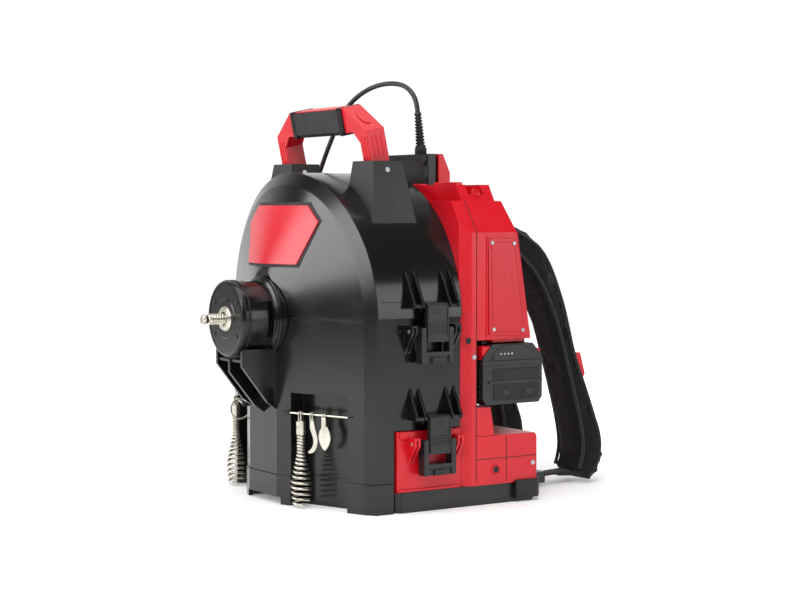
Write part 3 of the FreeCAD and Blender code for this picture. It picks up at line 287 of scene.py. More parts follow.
BLACK = (0.0055, 0.0055, 0.0057)
RED = (0.62, 0.0025, 0.013)
FINISHES = {
    "gloss_black": plastic("GlossBlack", BLACK, 0.17, 0.000006, Specular_IOR_Level=0.5),
    "matte_black": plastic("MatteBlack", (0.012, 0.012, 0.0125), 0.36, 0.00004),
    "graphite": plastic("Graphite", (0.022, 0.022, 0.023), 0.45, 0.00006, 700),
    "red": plastic("Red", RED, 0.34, 0.00003, 1100, 0.05),
    "badge_red": plastic("BadgeRed", (0.56, 0.003, 0.016), 0.3, 0.00002, 1300, 0.04),
    "steel": metal("NickelWire", (0.74, 0.70, 0.61), 0.26),
    "screw": metal("ZincScrew", (0.55, 0.55, 0.56), 0.34),
    "rubber": plastic("Rubber", (0.007, 0.007, 0.0075), 0.6, 0.00006, 1200),
    "webbing": ribbed_webbing("Webbing", (0.008, 0.008, 0.0085)),
    "pad": mesh_fabric("AirMesh", (0.006, 0.006, 0.0063)),
    "lead": plastic("LeadSheath", (0.016, 0.016, 0.017), 0.42, 0.00003),
    "internal_black": plastic("FilledNylon", (0.016, 0.016, 0.017), 0.45, 0.00005),
    "internal_steel": metal("MachinedSteel", (0.42, 0.43, 0.45), 0.33, (40, 1, 40)),
    "battery_grey": plastic("BatteryGrey", (0.014, 0.014, 0.015), 0.26, 0.00003, 800),
}
lead.data.materials.append(FINISHES["lead"])


# ---------------------------------------------------------------- piece helpers


def finish_piece(made, node, slot):
    """Puts a piece on a CAD node's body, with that node's slot or the one named."""
    slot = slot or SLOT_OF[node]
    made.data.materials.clear()
    made.data.materials.append(FINISHES[slot])
    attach(made, BODY_OF[node])
    return made


def new_piece(name, mesh, node, slot=None):
    made = bpy.data.objects.new(name, mesh)
    bpy.context.scene.collection.objects.link(made)
    return finish_piece(made, node, slot)


def to_mesh(name, bm):
    mesh = bpy.data.meshes.new(name)
    bmesh.ops.recalc_face_normals(bm, faces=bm.faces)
    bm.to_mesh(mesh)
    bm.free()
    return mesh


def smooth(mesh, angle=30):
    mesh.polygons.foreach_set("use_smooth", [True] * len(mesh.polygons))
    mesh.set_sharp_from_angle(angle=math.radians(angle))


def soften(piece, width, segments=2, angle=28):
    """Rounds a piece's hard edges by width in millimetres."""
    smooth(piece.data, angle)
    if width > 0:
        bevel = piece.modifiers.new("Edges", "BEVEL")
        bevel.width = width * MM
        bevel.segments = segments
        bevel.limit_method = "ANGLE"
        bevel.angle_limit = math.radians(angle)
        bevel.harden_normals = True
    return piece


def across(axes, a, b, c):
    """A point in metres from millimetres on three axes named in order, such as YZX."""
    return Vector([dict(zip(axes, (a, b, c)))[axis] * MM for axis in "XYZ"])


def prism(name, node, axes, outline, low, high, edge=0.6, slot=None, turn=None):
    """An outline on the first two axes, made solid along the third, with rounded edges."""
    bm = bmesh.new()
    ends = []
    for level in (low, high):
        ends.append([bm.verts.new(across(axes, a, b, level)) for a, b in outline])
    count = len(outline)
    bm.faces.new(ends[0])
    bm.faces.new(list(reversed(ends[1])))
    for i in range(count):
        j = (i + 1) % count
        bm.faces.new((ends[0][i], ends[0][j], ends[1][j], ends[1][i]))
    if turn:
        bm.transform(turn)
    return soften(new_piece(name, to_mesh(name, bm), node, slot), edge)


def slab(name, node, x, y, z, edge=0.6, slot=None, turn=None):
    outline = [(x[0], y[0]), (x[1], y[0]), (x[1], y[1]), (x[0], y[1])]
    return prism(name, node, "XYZ", outline, z[0], z[1], edge, slot, turn)


def lathe(name, node, profile, start, direction, slot=None, segments=64, edge=0.0):
    """A turned piece from (radius, distance) points along a direction, in millimetres."""
    axis = Vector(direction).normalized()
    side = axis.orthogonal().normalized()
    other = axis.cross(side)
    bm = bmesh.new()
    rings = []
    for radius, along in profile:
        centre = Vector(start) + axis * along
        ring = []
        for i in range(segments if radius else 1):
            angle = 2 * math.pi * i / segments
            spot = centre + (side * math.cos(angle) + other * math.sin(angle)) * radius
            ring.append(bm.verts.new(spot * MM))
        rings.append(ring)
    for near, far in zip(rings, rings[1:]):
        for i in range(segments):
            j = (i + 1) % segments
            corners = [near[i % len(near)], near[j % len(near)], far[j % len(far)],
                       far[i % len(far)]]
            unique = list(dict.fromkeys(corners))
            if len(unique) > 2:
                bm.faces.new(unique)
    return soften(new_piece(name, to_mesh(name, bm), node, slot), edge)


def wire(name, node, points, thickness, slot=None, closed=False):
    """A round wire or a raised or sunk line through points given in millimetres."""
    made = spline_curve(name, [Vector(p) * MM for p in points], thickness * MM, closed)
    made.data.bevel_resolution = 3
    return finish_piece(made, node, slot)


def helix(centre, top, bottom, radius_at, pitch_at, steps=14):
    """Points down a coil whose radius and pitch follow the height."""
    points = []
    height, angle = top, 0.0
    while height > bottom:
        radius = radius_at(height)
        points.append((centre[0] + radius * math.cos(angle), centre[1] + radius * math.sin(angle),
                       height))
        angle += 2 * math.pi / steps
        height -= pitch_at(height) / steps
    return points


# ---------------------------------------------------------------- every node's finish

for node, obj in frame["nodes"].items():
    obj.data.materials.clear()
    obj.data.materials.append(FINISHES[SLOT_OF[node]])
    smooth(obj.data)


# ---------------------------------------------------------------- places on the swept facets

FACET_START = Vector((38, -192, 0))
FACET_ALONG = Vector((141, 51, 0)).normalized()
FACET_OUT = Vector((FACET_ALONG.y, -FACET_ALONG.x, 0))
ROD_OUT, ROD_Z = 5, 126


def facet_spot(along, out=0.0, height=0.0, side=1):
    """A point beside a facet, in millimetres; side -1 is the left one."""
    spot = FACET_START + FACET_ALONG * along + FACET_OUT * out
    return Vector((spot.x * side, spot.y, height))


def facet_turn(side=1):
    """From a facet's own (along, out, up) millimetres to the machine's metres."""
    along = Vector((FACET_ALONG.x * side, FACET_ALONG.y, 0))
    out = Vector((FACET_OUT.x * side, FACET_OUT.y, 0))
    start = Vector((FACET_START.x * side, FACET_START.y, 0)) * MM
    turn = Matrix.Identity(4)
    for row in range(3):
        turn[row][0], turn[row][1], turn[row][2] = along[row], out[row], Z[row]
        turn[row][3] = start[row]
    return turn


def on_facet(name, node, along, out, up, side=1, edge=0.5, slot=None):
    return slab(name, node, along, out, up, edge, slot, facet_turn(side))


# ---------------------------------------------------------------- drum housing

for side, word in ((1, "right"), (-1, "left")):
    on_facet(f"seam_strip_{word}", "upper_shell", (22, 147), (-2.9, -2.0), (252.5, 257.6), side)
    on_facet(f"seam_shadow_{word}", "lower_shell", (20, 148.5), (-3.2, -2.4), (250.2, 252.4), side,
             0, "rubber")
    wire(f"belt_line_{word}", "upper_shell",
         [(side * 195.2, y, 276.2) for y in (-126, -90, -50, -2)], 0.9, "rubber")
    wire(f"shell_joint_{word}", "lower_shell",
         [(side * 195.3, y, 254.2) for y in (-128, -90, -50, -1)], 1.0, "rubber")
    wire(f"skirt_joint_{word}", "base_tray",
         [facet_spot(a, 0.5, 39.8, side) for a in (0, 25)], 1.0, "rubber")
    wire(f"post_joint_{word}", "base_tray",
         [facet_spot(a, 0.5, 39.8, side) for a in (122, 150)], 1.0, "rubber")


def badge_rim():
    """Dark rim round the badge plate, a little lower than the plate."""
    bm = bmesh.new()
    bm.from_mesh(frame["nodes"]["front_badge"].data)
    centre = sum((v.co for v in bm.verts), Vector()) / len(bm.verts)
    for vert in bm.verts:
        vert.co.x *= 1.045
        vert.co.z = centre.z + (vert.co.z - centre.z) * 1.1
        vert.co.y += 0.0013 + abs(vert.co.x) * 0.02 - (centre.z - vert.co.z) * 0.02
    piece = new_piece("badge_rim", to_mesh("badge_rim", bm), "upper_shell", "rubber")
    smooth(piece.data)


badge_rim()


# ---------------------------------------------------------------- cable outlet and cable

AXIS_Z = 250
SNOUT_Y = -249
CABLE_TIP_Y = -284


def cable_outlet():
    """Ribs and a flange bead on the barrel, the rings, dish and screws of its cap, and the bush's
    lip.
    """
    for i, y in enumerate((-243, -236)):
        lathe(f"barrel_rib_{i}", "snout_barrel", [(51, 0), (52.2, 0), (52.2, 2.2), (51, 2.2)],
              (0, y, AXIS_Z), -Y, segments=96, edge=0.3)
    lathe("barrel_flange_bead", "snout_barrel",
          [(54, 0), (56.5, 0.5), (57, 2), (56.5, 3.5), (54, 4)], (0, -192.5, AXIS_Z), -Y,
          segments=96)
    lathe("cap_edge", "snout_cap", [(46, -0.3), (49.3, 0), (50.8, 1.2), (51.3, 3), (51.3, 8.4),
                                    (50.5, 8.8)], (0, SNOUT_Y - 0.3, AXIS_Z), Y, segments=96)
    lathe("cap_dish", "snout_cap", [(17.5, -0.8), (26, -0.8), (27.5, 0.2), (31, 0.2)],
          (0, SNOUT_Y - 0.1, AXIS_Z), Y, segments=96)
    lathe("bush_lip", "cable_guide_bush", [(9.0, 0.5), (9.6, -0.9), (13.4, -0.9), (14.6, 0.3)],
          (0, SNOUT_Y - 3, AXIS_Z), Y, "steel")
    for i, angle in enumerate((35, 145, 215, 325)):
        spin = math.radians(angle)
        lathe(f"cap_screw_{i}", "snout_cap", [(3.2, 0.4), (3.2, -0.6), (2.6, -1.2), (0, -1.3)],
              (38 * math.cos(spin), SNOUT_Y, AXIS_Z + 38 * math.sin(spin)), Y, "rubber", 20)


def drain_cable():
    """Closely wound wire over a core, ending in a plain collar."""
    turns = [(p[0], -p[2], AXIS_Z + p[1]) for p in
             helix((0, 0), -CABLE_TIP_Y - 9, 60, lambda h: 5.9, lambda h: 3.9, 12)]
    coil = wire("cable_windings", "cable_end", turns, 3.7)
    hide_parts("cable_end")
    lathe("cable_core", "cable_end", [(0, 0), (5.2, 0), (5.2, 238), (0, 238)],
          (0, CABLE_TIP_Y + 2, AXIS_Z), Y, "rubber", 32)
    lathe("cable_collar", "cable_end",
          [(0, 0), (5.6, 0), (6.6, 0.9), (6.6, 3.6), (5.0, 4.6), (4.6, 6.2), (5.0, 7.8),
           (7.0, 8.6), (7.2, 11)], (0, CABLE_TIP_Y, AXIS_Z), Y, None, 40)


cable_outlet()
drain_cable()


# ---------------------------------------------------------------- augers and cutters


def ramp_between(pairs):
    """A function through (height, value) pairs, straight between them."""
    def value_at(height):
        for (high, value), (low, next_value) in zip(pairs, pairs[1:]):
            if height >= low:
                share = (high - height) / (high - low)
                return value + (next_value - value) * min(1.0, max(0.0, share))
        return pairs[-1][1]
    return value_at


def auger(node, along, side):
    """Open spring auger: clevis and sleeve, a close neck and a flared, open body."""
    spot = facet_spot(along, ROD_OUT, 0, side)
    radius = ramp_between([(102, 4.4), (74, 4.4), (33, 13.2), (3, 10.2)])
    pitch = ramp_between([(102, 3.9), (76, 4.1), (60, 5.6), (33, 7.2), (3, 7.2)])
    coil = wire(node + "_coil", node, helix(spot, 102, 4.5, radius, pitch, 16), 3.3)
    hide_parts(node)
    start = (spot.x, spot.y, 98)
    lathe(node + "_sleeve", node, [(0, 0), (6.2, 0), (6.5, 0.6), (6.5, 17), (5.6, 18.4), (0, 18.4)],
          start, Z, None, 40)
    # Painted shade: a dark rod across the sleeve shows as dark discs where the cross hole's shaded
    # inside is.
    across_hole = Vector((FACET_OUT.x * side, FACET_OUT.y, 0))
    lathe(node + "_hole", node, [(2.2, 0), (2.2, 13.4)],
          Vector((spot.x, spot.y, 108)) - across_hole * 6.7, across_hole, "rubber", 24)
    hanger(node, along, side)


def hanger(node, along, side):
    """Folded strip eye over the rod, and its shank."""
    for i, shift in enumerate((-2.6, 1.2)):
        prism(f"{node}_eye_{i}", node, "YZX", rounded_strip(2.9, 3.6, 10), along + shift,
              along + shift + 1.4, 0.3, None, facet_turn(side))


def rounded_strip(half, top, down):
    """Outline of an eye with a straight tail, round the rod at the origin of its own plane."""
    points = [(ROD_OUT - half, ROD_Z - down)]
    for i in range(9):
        angle = math.pi - math.pi * i / 8
        points.append((ROD_OUT + top * math.cos(angle), ROD_Z + top * math.sin(angle)))
    return points + [(ROD_OUT + half, ROD_Z - down)]


def blade(name, node, along, side, outline, thickness, bow):
    """A forged flat cutter: outline on (along, up), made solid across its thickness, with its edges
    rounded by bow in millimetres.
    """
    bm = bmesh.new()
    rows = []
    for out in (-thickness / 2, thickness / 2):
        rows.append([bm.verts.new((a + along, out + ROD_OUT, b)) for a, b in outline])
    count = len(outline)
    bm.faces.new(rows[0])
    bm.faces.new(list(reversed(rows[1])))
    for i in range(count):
        j = (i + 1) % count
        bm.faces.new((rows[0][i], rows[0][j], rows[1][j], rows[1][i]))
    bm.transform(Matrix.Scale(MM, 4))
    bm.transform(facet_turn(side))
    piece = soften(new_piece(name, to_mesh(name, bm), node), bow)
    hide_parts(node)
    return piece


def smooth_outline(points, rounds=2):
    """Chaikin corner cutting of a closed outline."""
    for _ in range(rounds):
        cut = []
        for (ax, az), (bx, bz) in zip(points, points[1:] + points[:1]):
            cut.append((0.75 * ax + 0.25 * bx, 0.75 * az + 0.25 * bz))
            cut.append((0.25 * ax + 0.75 * bx, 0.25 * az + 0.75 * bz))
        points = cut
    return points


def cutters():
    """The C cutter and the spade cutter, each on its own folded eye."""
    crescent = [(-3, 121), (3, 121), (4, 112), (6.5, 105), (9.5, 96), (8.5, 84), (3, 76),
                (-5, 73.5), (-8, 76), (-3, 79), (1.5, 85), (2.5, 93), (-1, 101), (-4.5, 108)]
    blade("c_cutter_blade", "c_cutter", 67, 1, smooth_outline(crescent), 2.6, 0.5)
    hanger("c_cutter", 67, 1)
    leaf = [(-3, 121), (3, 121), (4.5, 111), (9.5, 104), (10.5, 95), (6, 85), (0, 78.5),
            (-6, 85), (-10.5, 95), (-9.5, 104), (-4.5, 111)]
    blade("spade_blade", "spade_cutter", 88, 1, smooth_outline(leaf), 2.4, 0.5)
    hanger("spade_cutter", 88, 1)
    on_facet("spade_block", "spade_cutter", (84.5, 92), (1.5, 8.5), (111, 123.5), 1, 0.8)


def rods():
    """Pointed black keepers at the front ends of the rods."""
    for side, word in ((1, "right"), (-1, "left")):
        prism(f"rod_keeper_{word}", "tool_rods", "XZY",
              [(17, 123.5), (26, 123.5), (29, 126), (26, 128.5), (17, 128.5)], 0.2, 7.4, 0.5,
              "rubber", facet_turn(side))


auger("funnel_auger_right", 47, 1)
auger("funnel_auger_left", 104, -1)
cutters()
rods()


# ---------------------------------------------------------------- handle

LEAN = Matrix.Translation(Vector((0, -79, 462)) * MM) @ Matrix.Rotation(math.radians(12), 4, "X")


POCKET_REACH, POCKET_HEIGHT = 13, 5


def handle_details():
    """Grooved legs, the oval pocket at each outer corner with its shade painted as a dark oval
    inside a rim, and ribs on the grip's ends.
    """
    for side, word in ((1, "right"), (-1, "left")):
        for i, x in enumerate((104.5, 111, 117.5)):
            slab(f"leg_rib_{word}_{i}", "carry_handle", (side * x - 1.1, side * x + 1.1),
                 (-14.7, -13.5), (4, 34), 0.4, None, LEAN)
        for i, y in enumerate((-7, 0, 7)):
            slab(f"leg_side_rib_{word}_{i}", "carry_handle", sorted((side * 120.5, side * 121.7)),
                 (y - 1.1, y + 1.1), (4, 34), 0.4, None, LEAN)
        slope = math.atan2(33, -49) if side > 0 else math.atan2(33, 49)
        middle = Vector((side * 97.5, 0, 58.8)) * MM
        turn = LEAN @ Matrix.Translation(middle) @ Matrix.Rotation(-slope, 4, "Y")
        loop = []
        for i in range(24):
            angle = 2 * math.pi * i / 24
            loop.append((POCKET_REACH * math.cos(angle), POCKET_HEIGHT * math.sin(angle)))
        # Painted shade: a flat oval in the dark rubber finish stands for the shade inside the
        # corner pocket.
        prism(f"corner_pocket_{word}", "carry_handle", "XYZ", loop, -0.6, 0.5, 0.2, "rubber", turn)
        prism(f"corner_pocket_rim_{word}", "carry_handle", "XYZ",
              [(a * 1.14, b * 1.3) for a, b in loop], -0.8, 0.3, 0.2, None, turn)
        for i, x in enumerate((60, 64)):
            slab(f"grip_band_{word}_{i}", "handle_grip", (side * x - 1, side * x + 1),
                 (-17.8, 17.8), (37.5, 75.6), 0.4, None, LEAN)


def tower_details():
    """Raised line down each tower's front outer corner."""
    for side, word in ((1, "right"), (-1, "left")):
        wire(f"tower_corner_{word}", "handle_towers",
             [(side * 134.6, -98.7, 459), (side * 149, -109, 381)], 1.6)


handle_details()
tower_details()


# ---------------------------------------------------------------- latches

WALL = 193
LATCHES = (("upper", 254, -49), ("lower", 107, -45))


def latch_details(name, level, middle, side, word):
    """Raised oval and grip ribs on the hook, and the frame's cross bar and pin ends."""
    hook, lever = f"{name}_hook_{word}", f"{name}_lever_{word}"
    face = WALL + 21
    oval = [(side * (face + 0.1), middle + 5.5 * math.cos(math.radians(a)),
             level + 10 + 2.6 * math.sin(math.radians(a))) for a in range(0, 360, 20)]
    wire(hook + "_oval", hook, oval, 1.3, None, True)
    x = sorted((side * (face - 1), side * (face + 1.2)))
    for i in range(4):
        low = level - 8 - 3.6 * i
        slab(f"{hook}_rib_{i}", hook, x, (middle - 13, middle + 13), (low, low + 1.6), 0.4)
    x = sorted((side * (face - 0.6), side * (face + 0.9)))
    for i, y in enumerate((-16.3, 13.9)):
        slab(f"{hook}_edge_{i}", hook, x, (middle + y, middle + y + 2.4), (level - 24, level + 18),
             0.4)
    x = sorted((side * (WALL + 17.5), side * (WALL + 20.6)))
    slab(f"{lever}_bar", lever, x, (middle - 24, middle + 24), (level - 48, level - 43), 0.6)
    slab(f"{lever}_tab_rib", lever, sorted((side * (WALL + 20), side * (WALL + 22.3))),
         (middle - 7, middle + 7), (level - 56.5, level - 54.5), 0.4)
    for i, y in enumerate((-40.2, 38.6)):
        lathe(f"{name}_pin_end_{word}_{i}", "latch_pivot_pins",
              [(0, 0), (2.6, 0.1), (2.6, 1.5), (0, 1.6)],
              (side * (WALL + 10.5), middle + y, level - 16), Y, None, 20)


for latch_name, latch_level, latch_middle in LATCHES:
    for latch_side, latch_word in ((1, "right"), (-1, "left")):
        latch_details(latch_name, latch_level, latch_middle, latch_side, latch_word)


# ---------------------------------------------------------------- powerbase

SIDE = 200


def powerbase_details():
    """Moulding lines, bosses and ribs on the column, the control box and the lower box, and dark
    discs painted as the shade in the holes of the column and of the bosses.
    """
    for side, word in ((1, "right"), (-1, "left")):
        x = side * SIDE
        wire(f"column_joint_{word}", "control_box",
             [(x, 22, 32), (x, 22, 140), (x, 22, 260), (x, 22, 366)], 1.1, "rubber")
        wire(f"shoulder_joint_{word}", "control_box",
             [(x, 22, 366), (side * 172, 22, 408)], 1.1, "rubber")
        wire(f"lower_box_seam_{word}", "lower_box", [(x, 72, 30), (x, 72, 60), (x, 72, 92.6)], 0.9,
             "rubber")
        wire(f"lower_box_line_{word}", "lower_box", [(x, 23, 62), (x, 80, 62), (x, 122, 62)], 0.9,
             "rubber")
        wire(f"box_back_line_{word}", "control_box",
             [(side * 199.4, 111, 224), (side * 199.4, 100, 296), (side * 199.4, 89.3, 366)], 1.2)
        side_x = sorted((side * 194.6, side * 197.2))
        for i, (low, high) in enumerate(((-97, -73), (-17, -4))):
            slab(f"cradle_boss_{word}_{i}", "powerbase_front_shell", side_x, (low, high),
                 (97, 106.8), 0.8)
        slab(f"cradle_foot_rib_{word}", "powerbase_front_shell", side_x, (-99, -2), (27.5, 31), 0.8)
        # Painted shade: a flat dark disc stands for the shade inside the column's hole.
        lathe(f"column_hole_shade_{word}", "powerbase_front_shell",
              [(0, 0.15), (3.6, 0.15), (4.4, -0.05)], (x, 9, 222), X * side, "rubber", 28)
        lathe(f"box_boss_{word}", "lower_box",
              [(0, 0.2), (5.2, 0.2), (5.2, 1.6), (7.2, 1.8), (8, 0)], (x, 54, 47), X * side,
              None, 32)
        # Painted shade: a dark disc sunk in each boss stands for the shade inside its hole.
        lathe(f"box_boss_hole_shade_{word}", "lower_box", [(0, 0.9), (4.4, 0.9)], (x, 54, 47),
              X * side, "rubber", 28)


def label_details():
    """A thin raised line inside each blank plate's edge, and the frame beside it."""
    edge = [(45, 353), (83, 353), (99.5, 231), (47, 234)]
    for side, word in ((1, "right"), (-1, "left")):
        x = side * 202.1
        loop = []
        for (ay, az), (by, bz) in zip(edge, edge[1:] + edge[:1]):
            for share in (0.02, 0.06, 0.5, 0.94, 0.98):
                loop.append((x, ay + (by - ay) * share, az + (bz - az) * share))
        wire(f"label_line_{word}", "label_plates", loop, 0.8, None, True)
        frame_x = sorted((side * 199.8, side * 201.2))
        slab(f"label_frame_{word}_0", "control_box", frame_x, (37.6, 39.8), (226, 361), 0.4)


def saddle_details():
    """Stepped tongue in front of the pedal, lips along the saddle's front and back, and a boss on
    each side of the saddle.
    """
    slab("saddle_tongue", "control_box", (96, 150), (23, 34), (428, 433.5), 1.2)
    slab("saddle_lip", "control_box", (-66, 66), (22.4, 32.6), (428.5, 432), 1.0)
    slab("saddle_rear_lip", "control_box", (-66, 66), (73.9, 76.4), (428.5, 432), 0.8)
    for side, word in ((1, "right"), (-1, "left")):
        lathe(f"saddle_boss_{word}", "control_box",
              [(0, 0.8), (3, 0.8), (3.4, 2), (6, 2.2), (7, 0)],
              (side * 158, 50, 418.5), Vector((side * 22, 0, 14)), None, 28)


powerbase_details()
label_details()
saddle_details()


# ---------------------------------------------------------------- battery


def battery_details():
    """Parting line, a stepped lip, side grips, and the rounded cover over the terminals."""
    body = "battery_case_bottom"
    end = 205
    wire("battery_joint", body, [(66, 28.8, 191.8), (end + 0.1, 28.8, 191.8)], 1.0, "rubber")
    slab("battery_lip", "battery_case_top", (70, end + 1.2), (28, 129), (187.5, 194.5), 1.6)
    slab("battery_end_plate", body, (end - 1, end + 1.4), (46, 122), (140, 183), 2.2, "rubber")
    slab("battery_end_band", body, (end - 1, end + 2.0), (38, 127.5), (163, 167), 1.0)
    for i, (low, high) in enumerate(((60, 72), (98, 110))):
        slab(f"battery_notch_{i}", body, (end - 1, end + 2.3), (low, high), (147, 156), 0.8,
             "internal_black")
    for i in range(5):
        low = 142 + 8 * i
        slab(f"battery_grip_{i}", body, (end - 70, end - 6), (28, 29.6), (low, low + 3.4), 0.8)
        slab(f"battery_grip_back_{i}", body, (end - 70, end - 6), (127.4, 129), (low, low + 3.4),
             0.8)
    dome = [(45, 194), (118, 194), (118, 199), (108, 209), (92, 215), (66, 215), (52, 209),
            (45, 202)]
    prism("battery_dome", "battery_case_top", "YZX", dome, end - 12, end + 1.6, 1.4)
    dots = [(end + 1.7, 58 + 6 * i, 203) for i in range(4)]
    for i, dot in enumerate(dots):
        lathe(f"charge_dot_{i}", "battery_case_top", [(0, 0.5), (1.3, 0.4), (1.5, 0)], dot, X,
              "screw", 16)
    slab("battery_latch_red", "battery_case_top", (end - 26, end - 2), (29.4, 44), (200, 214), 2.0,
         "red")


battery_details()


# ---------------------------------------------------------------- pedal and strain relief


def pedal_details():
    """Ribs across the treadle, a border on the base, and its rubber feet."""
    for i in range(3):
        low = 424 + 7.5 * i
        slab(f"treadle_rib_{i}", "pedal_plate", (-60, 60), (66.4, 71.9), (low, low + 2.0), 0.7)
    wire("pedal_base_border", "pedal_base",
         [(-62, 34.8, 418), (-62, 34.8, 470), (62, 34.8, 470), (62, 34.8, 418)], 1.6, None, True)
    for i, (x, z) in enumerate(((-54, 424), (54, 424), (-54, 464), (54, 464))):
        lathe(f"pedal_pad_{i}", "pedal_base", [(0, 2.4), (5.4, 2.2), (6.4, 1.2), (6.6, 0)],
              (x, 35, z), -Y, "rubber", 32)


def strain_relief():
    """Hex nut and a ribbed bellows that leans with the lead."""
    foot = Vector((34, 43, 474))
    nut = lathe("relief_nut", "pedal_strain_relief",
                [(0, 0), (8.2, 0), (8.7, 0.9), (8.7, 8.2), (8.0, 9), (0, 9)], foot, Z, None, 6, 0.4)
    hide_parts("pedal_strain_relief")
    lean = Vector((29, 41.5, 532)) - Vector((34, 43, 483))
    length = lean.length
    profile = [(0, -1), (7.3, -1), (7.4, 3.5)]
    rings = 10
    for i in range(rings):
        low = 4 + (length - 5) * i / rings
        step = (length - 5) / rings
        radius = 6.6 - 1.7 * i / rings
        profile += [(radius - 1.5, low), (radius - 1.5, low + step * 0.3),
                    (radius, low + step * 0.42), (radius, low + step * 0.88)]
    profile += [(4.6, length), (3.6, length + 1.2)]
    lathe("relief_bellows", "pedal_strain_relief", profile, (34, 43, 483), lean, None, 32)


pedal_details()
strain_relief()


# ---------------------------------------------------------------- soft goods


CLOTH_FRAMES = 20
CLOTH_PRESSURE = 4
CLOTH_GROWTH = 0.06


def inflated(node, voxel, shrink, cap):
    """A node's solid as a stuffed form: remeshed, blown up as cloth, and held to a cap."""
    piece = bpy.data.objects.new(node + "_soft", frame["nodes"][node].data.copy())
    bpy.context.scene.collection.objects.link(piece)
    bpy.context.view_layer.objects.active = piece
    remesh = piece.modifiers.new("Remesh", "REMESH")
    remesh.mode = "VOXEL"
    remesh.voxel_size = voxel
    freeze(piece)
    for vert, normal in [(v, v.normal.copy()) for v in piece.data.vertices]:
        vert.co -= normal * shrink
    rest = [v.co.copy() for v in piece.data.vertices]
    cloth = piece.modifiers.new("Cloth", "CLOTH")
    cloth.settings.use_pressure = True
    cloth.settings.uniform_pressure_force = CLOTH_PRESSURE
    cloth.settings.effector_weights.gravity = 0
    cloth.settings.quality = 4
    cloth.settings.tension_stiffness = 15
    cloth.settings.shrink_min = -CLOTH_GROWTH
    cloth.settings.bending_stiffness = 0.4
    for number in range(1, CLOTH_FRAMES + 1):
        bpy.context.scene.frame_set(number)
    freeze(piece)
    for vert, before in zip(piece.data.vertices, rest):
        push = vert.co - before
        if push.length > cap:
            vert.co = before + push * (cap / push.length)
    bpy.context.scene.frame_set(1)
    finer = piece.modifiers.new("Finer", "SUBSURF")
    finer.levels = finer.render_levels = 1
    freeze(piece)
    piece.data.polygons.foreach_set("use_smooth", [True] * len(piece.data.polygons))
    finish_piece(piece, node, None)
    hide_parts(node)
    return piece


def freeze(piece):
    """Puts a piece's modifiers into its mesh."""
    graph = bpy.context.evaluated_depsgraph_get()
    mesh = bpy.data.meshes.new_from_object(piece.evaluated_get(graph))
    piece.modifiers.clear()
    piece.data = mesh


BINDING, STITCH = 5.0, 1.1
STRAP_OUTER = [(94.6, 391), (130, 375), (165, 360), (200, 334), (229, 268), (241, 225),
               (250, 192), (265, 155), (276, 129), (289, 95), (298, 72), (300, 45), (290, 20),
               (276, 8)]
STRAP_INNER = [(255, 25), (264, 45), (257, 90), (240, 149), (229, 185), (217, 226), (202, 262),
               (181, 300), (150, 330), (120, 350), (94.6, 362)]


def inset_line(outline, inset):
    """An open line moved towards the strap's middle by inset."""
    moved = []
    for i, (y, z) in enumerate(outline):
        before, after = outline[max(0, i - 1)], outline[min(len(outline) - 1, i + 1)]
        run = Vector((after[0] - before[0], after[1] - before[1], 0)).normalized()
        moved.append((y + run.y * inset, z - run.x * inset))
    return moved


def straps():
    """Padded straps with bound edges, two raised stitch lines, a pull tab and lower tape."""
    padding = inflated("shoulder_straps", 0.005, 0.0012, 0.0055)
    for side, word in ((1, "right"), (-1, "left")):
        for i, x in enumerate((66.5, 123.5)):
            for j, (line, inset) in enumerate(((STRAP_OUTER, 2.5), (STRAP_INNER, 4.5))):
                wire(f"strap_binding_{word}_{i}{j}", "shoulder_straps",
                     [(side * x, y, z) for y, z in inset_line(line, inset)], BINDING, "webbing")
        for i, x in enumerate((76, 114)):
            wire(f"strap_stitch_{word}_{i}", "shoulder_straps",
                 [(side * x, y, z) for y, z in inset_line(STRAP_OUTER, -0.6)], STITCH, "webbing")
        prism(f"strap_tab_{word}", "shoulder_straps", "YZX",
              [(252, 189), (262, 191), (271, 160), (267, 153), (257, 168)],
              *sorted((side * 106, side * 121)), 0.8, "red")
        prism(f"strap_tape_{word}", "lower_webbing", "YZX",
              [(236, 12), (262, 10), (280, 20), (290, 40), (286, 41), (277, 24), (260, 15),
               (236, 16.5)], *sorted((side * 83, side * 107)), 0.4)


def back_pad():
    """A plain crowned pad with a bound edge."""
    pad = inflated("back_pad", 0.005, 0.0015, 0.007)
    edge = [(-116, 128, 231), (116, 128, 231), (116, 113, 333), (-116, 113, 333)]
    loop = []
    for a, b in zip(edge, edge[1:] + edge[:1]):
        for share in (0.04, 0.3, 0.7, 0.96):
            loop.append([p + (q - p) * share for p, q in zip(a, b)])
    wire("back_pad_binding", "back_pad", [(x, y - 3, z) for x, y, z in loop], BINDING,
         "webbing", True)


straps()
back_pad()


# ---------------------------------------------------------------- floor and light

FLOOR_RADIUS = 3.2
BACKDROP_WHITE = 1.04
BEHIND = Vector((-math.sin(CAMERA_AZIMUTH), math.cos(CAMERA_AZIMUTH), 0))


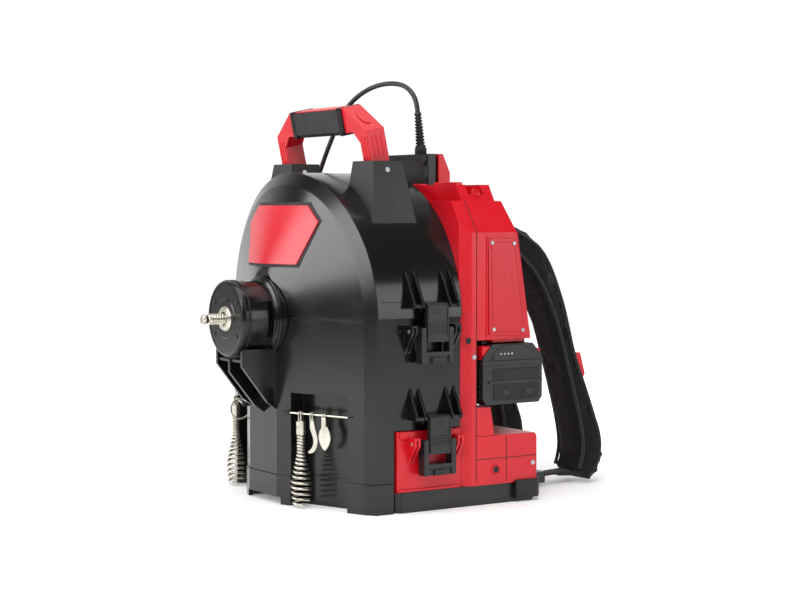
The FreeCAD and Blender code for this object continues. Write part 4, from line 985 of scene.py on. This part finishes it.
def add_floor():
    bm = bmesh.new()
    bmesh.ops.create_circle(bm, cap_ends=True, segments=128, radius=FLOOR_RADIUS)
    floor = bpy.data.objects.new("Floor", to_mesh("Floor", bm))
    bpy.context.scene.collection.objects.link(floor)
    finish = Finish("FloorFinish", (0.88, 0.88, 0.88), 0.7, Specular_IOR_Level=0.2)
    finish.mottle(finish.noise(3), (0.87, 0.87, 0.87), (0.89, 0.89, 0.89))
    # Painted light: the floor glows by itself, from 0.2 on the camera's side to 0.85 behind the
    # machine, which keeps it white and pales the shadows cast on it.
    finish.shader.inputs["Emission Color"].default_value = (1, 1, 1, 1)
    far = finish.nodes.new("ShaderNodeVectorMath")
    far.operation = "DOT_PRODUCT"
    far.inputs[1].default_value = BEHIND
    finish.links.new(finish.place, far.inputs[0])
    glow = finish.nodes.new("ShaderNodeMapRange")
    glow.interpolation_type = "SMOOTHSTEP"
    for socket, number in (("From Min", 0.0), ("From Max", 1.8), ("To Min", 0.2),
                           ("To Max", 0.85)):
        glow.inputs[socket].default_value = number
    finish.links.new(far.outputs["Value"], glow.inputs["Value"])
    finish.links.new(glow.outputs["Result"], finish.shader.inputs["Emission Strength"])
    floor.data.materials.append(finish.material)


def softbox(name, place, aim, width, height, radiance):
    """A rectangular lamp whose face has the given brightness, whatever its size."""
    data = bpy.data.lights.new(name, "AREA")
    data.shape = "RECTANGLE"
    data.size = width
    data.size_y = height
    data.energy = radiance * math.pi * width * height
    lamp = bpy.data.objects.new(name, data)
    lamp.location = place
    lamp.rotation_mode = "QUATERNION"
    lamp.rotation_quaternion = (Vector(aim) - Vector(place)).to_track_quat("-Z", "Y")
    bpy.context.scene.collection.objects.link(lamp)


def add_world():
    """White wherever the camera sees it, and as a light brighter behind the machine."""
    world = bpy.data.worlds.new("Studio")
    world.use_nodes = True
    nodes, links = world.node_tree.nodes, world.node_tree.links
    direction = nodes.new("ShaderNodeTexCoord").outputs["Generated"]
    along = nodes.new("ShaderNodeVectorMath")
    along.operation = "DOT_PRODUCT"
    along.inputs[1].default_value = BEHIND
    links.new(direction, along.inputs[0])
    fade = nodes.new("ShaderNodeMapRange")
    fade.interpolation_type = "SMOOTHSTEP"
    for socket, number in (("From Min", 0.25), ("From Max", 0.9), ("To Min", 0.11),
                           ("To Max", BACKDROP_WHITE)):
        fade.inputs[socket].default_value = number
    links.new(along.outputs["Value"], fade.inputs["Value"])
    seen = nodes.new("ShaderNodeMix")
    seen.inputs["B"].default_value = BACKDROP_WHITE
    links.new(nodes.new("ShaderNodeLightPath").outputs["Is Camera Ray"], seen.inputs["Factor"])
    links.new(fade.outputs["Result"], seen.inputs["A"])
    links.new(seen.outputs["Result"], nodes["Background"].inputs["Strength"])
    nodes["Background"].inputs["Color"].default_value = (1, 1, 1, 1)
    bpy.context.scene.world = world


add_floor()
add_world()
softbox("FrontLeftBox", (-0.75, -2.3, 1.05), (0, -0.1, 0.35), 1.9, 1.2, 5.6)
softbox("RightBox", (2.2, 1.5, 0.75), (0, 0, 0.25), 1.3, 1.1, 2.6)
softbox("TopBox", (0.3, -0.2, 2.7), (0, 0, 0), 2.4, 2.4, 2.9)
softbox("KeyBox", (1.9, -1.5, 2.1), (0, 0, 0.3), 1.2, 1.0, 10.5)
bpy.context.scene.view_settings.view_transform = "Standard"


# ---------------------------------------------------------------- the end

bpy.context.view_layer.update()
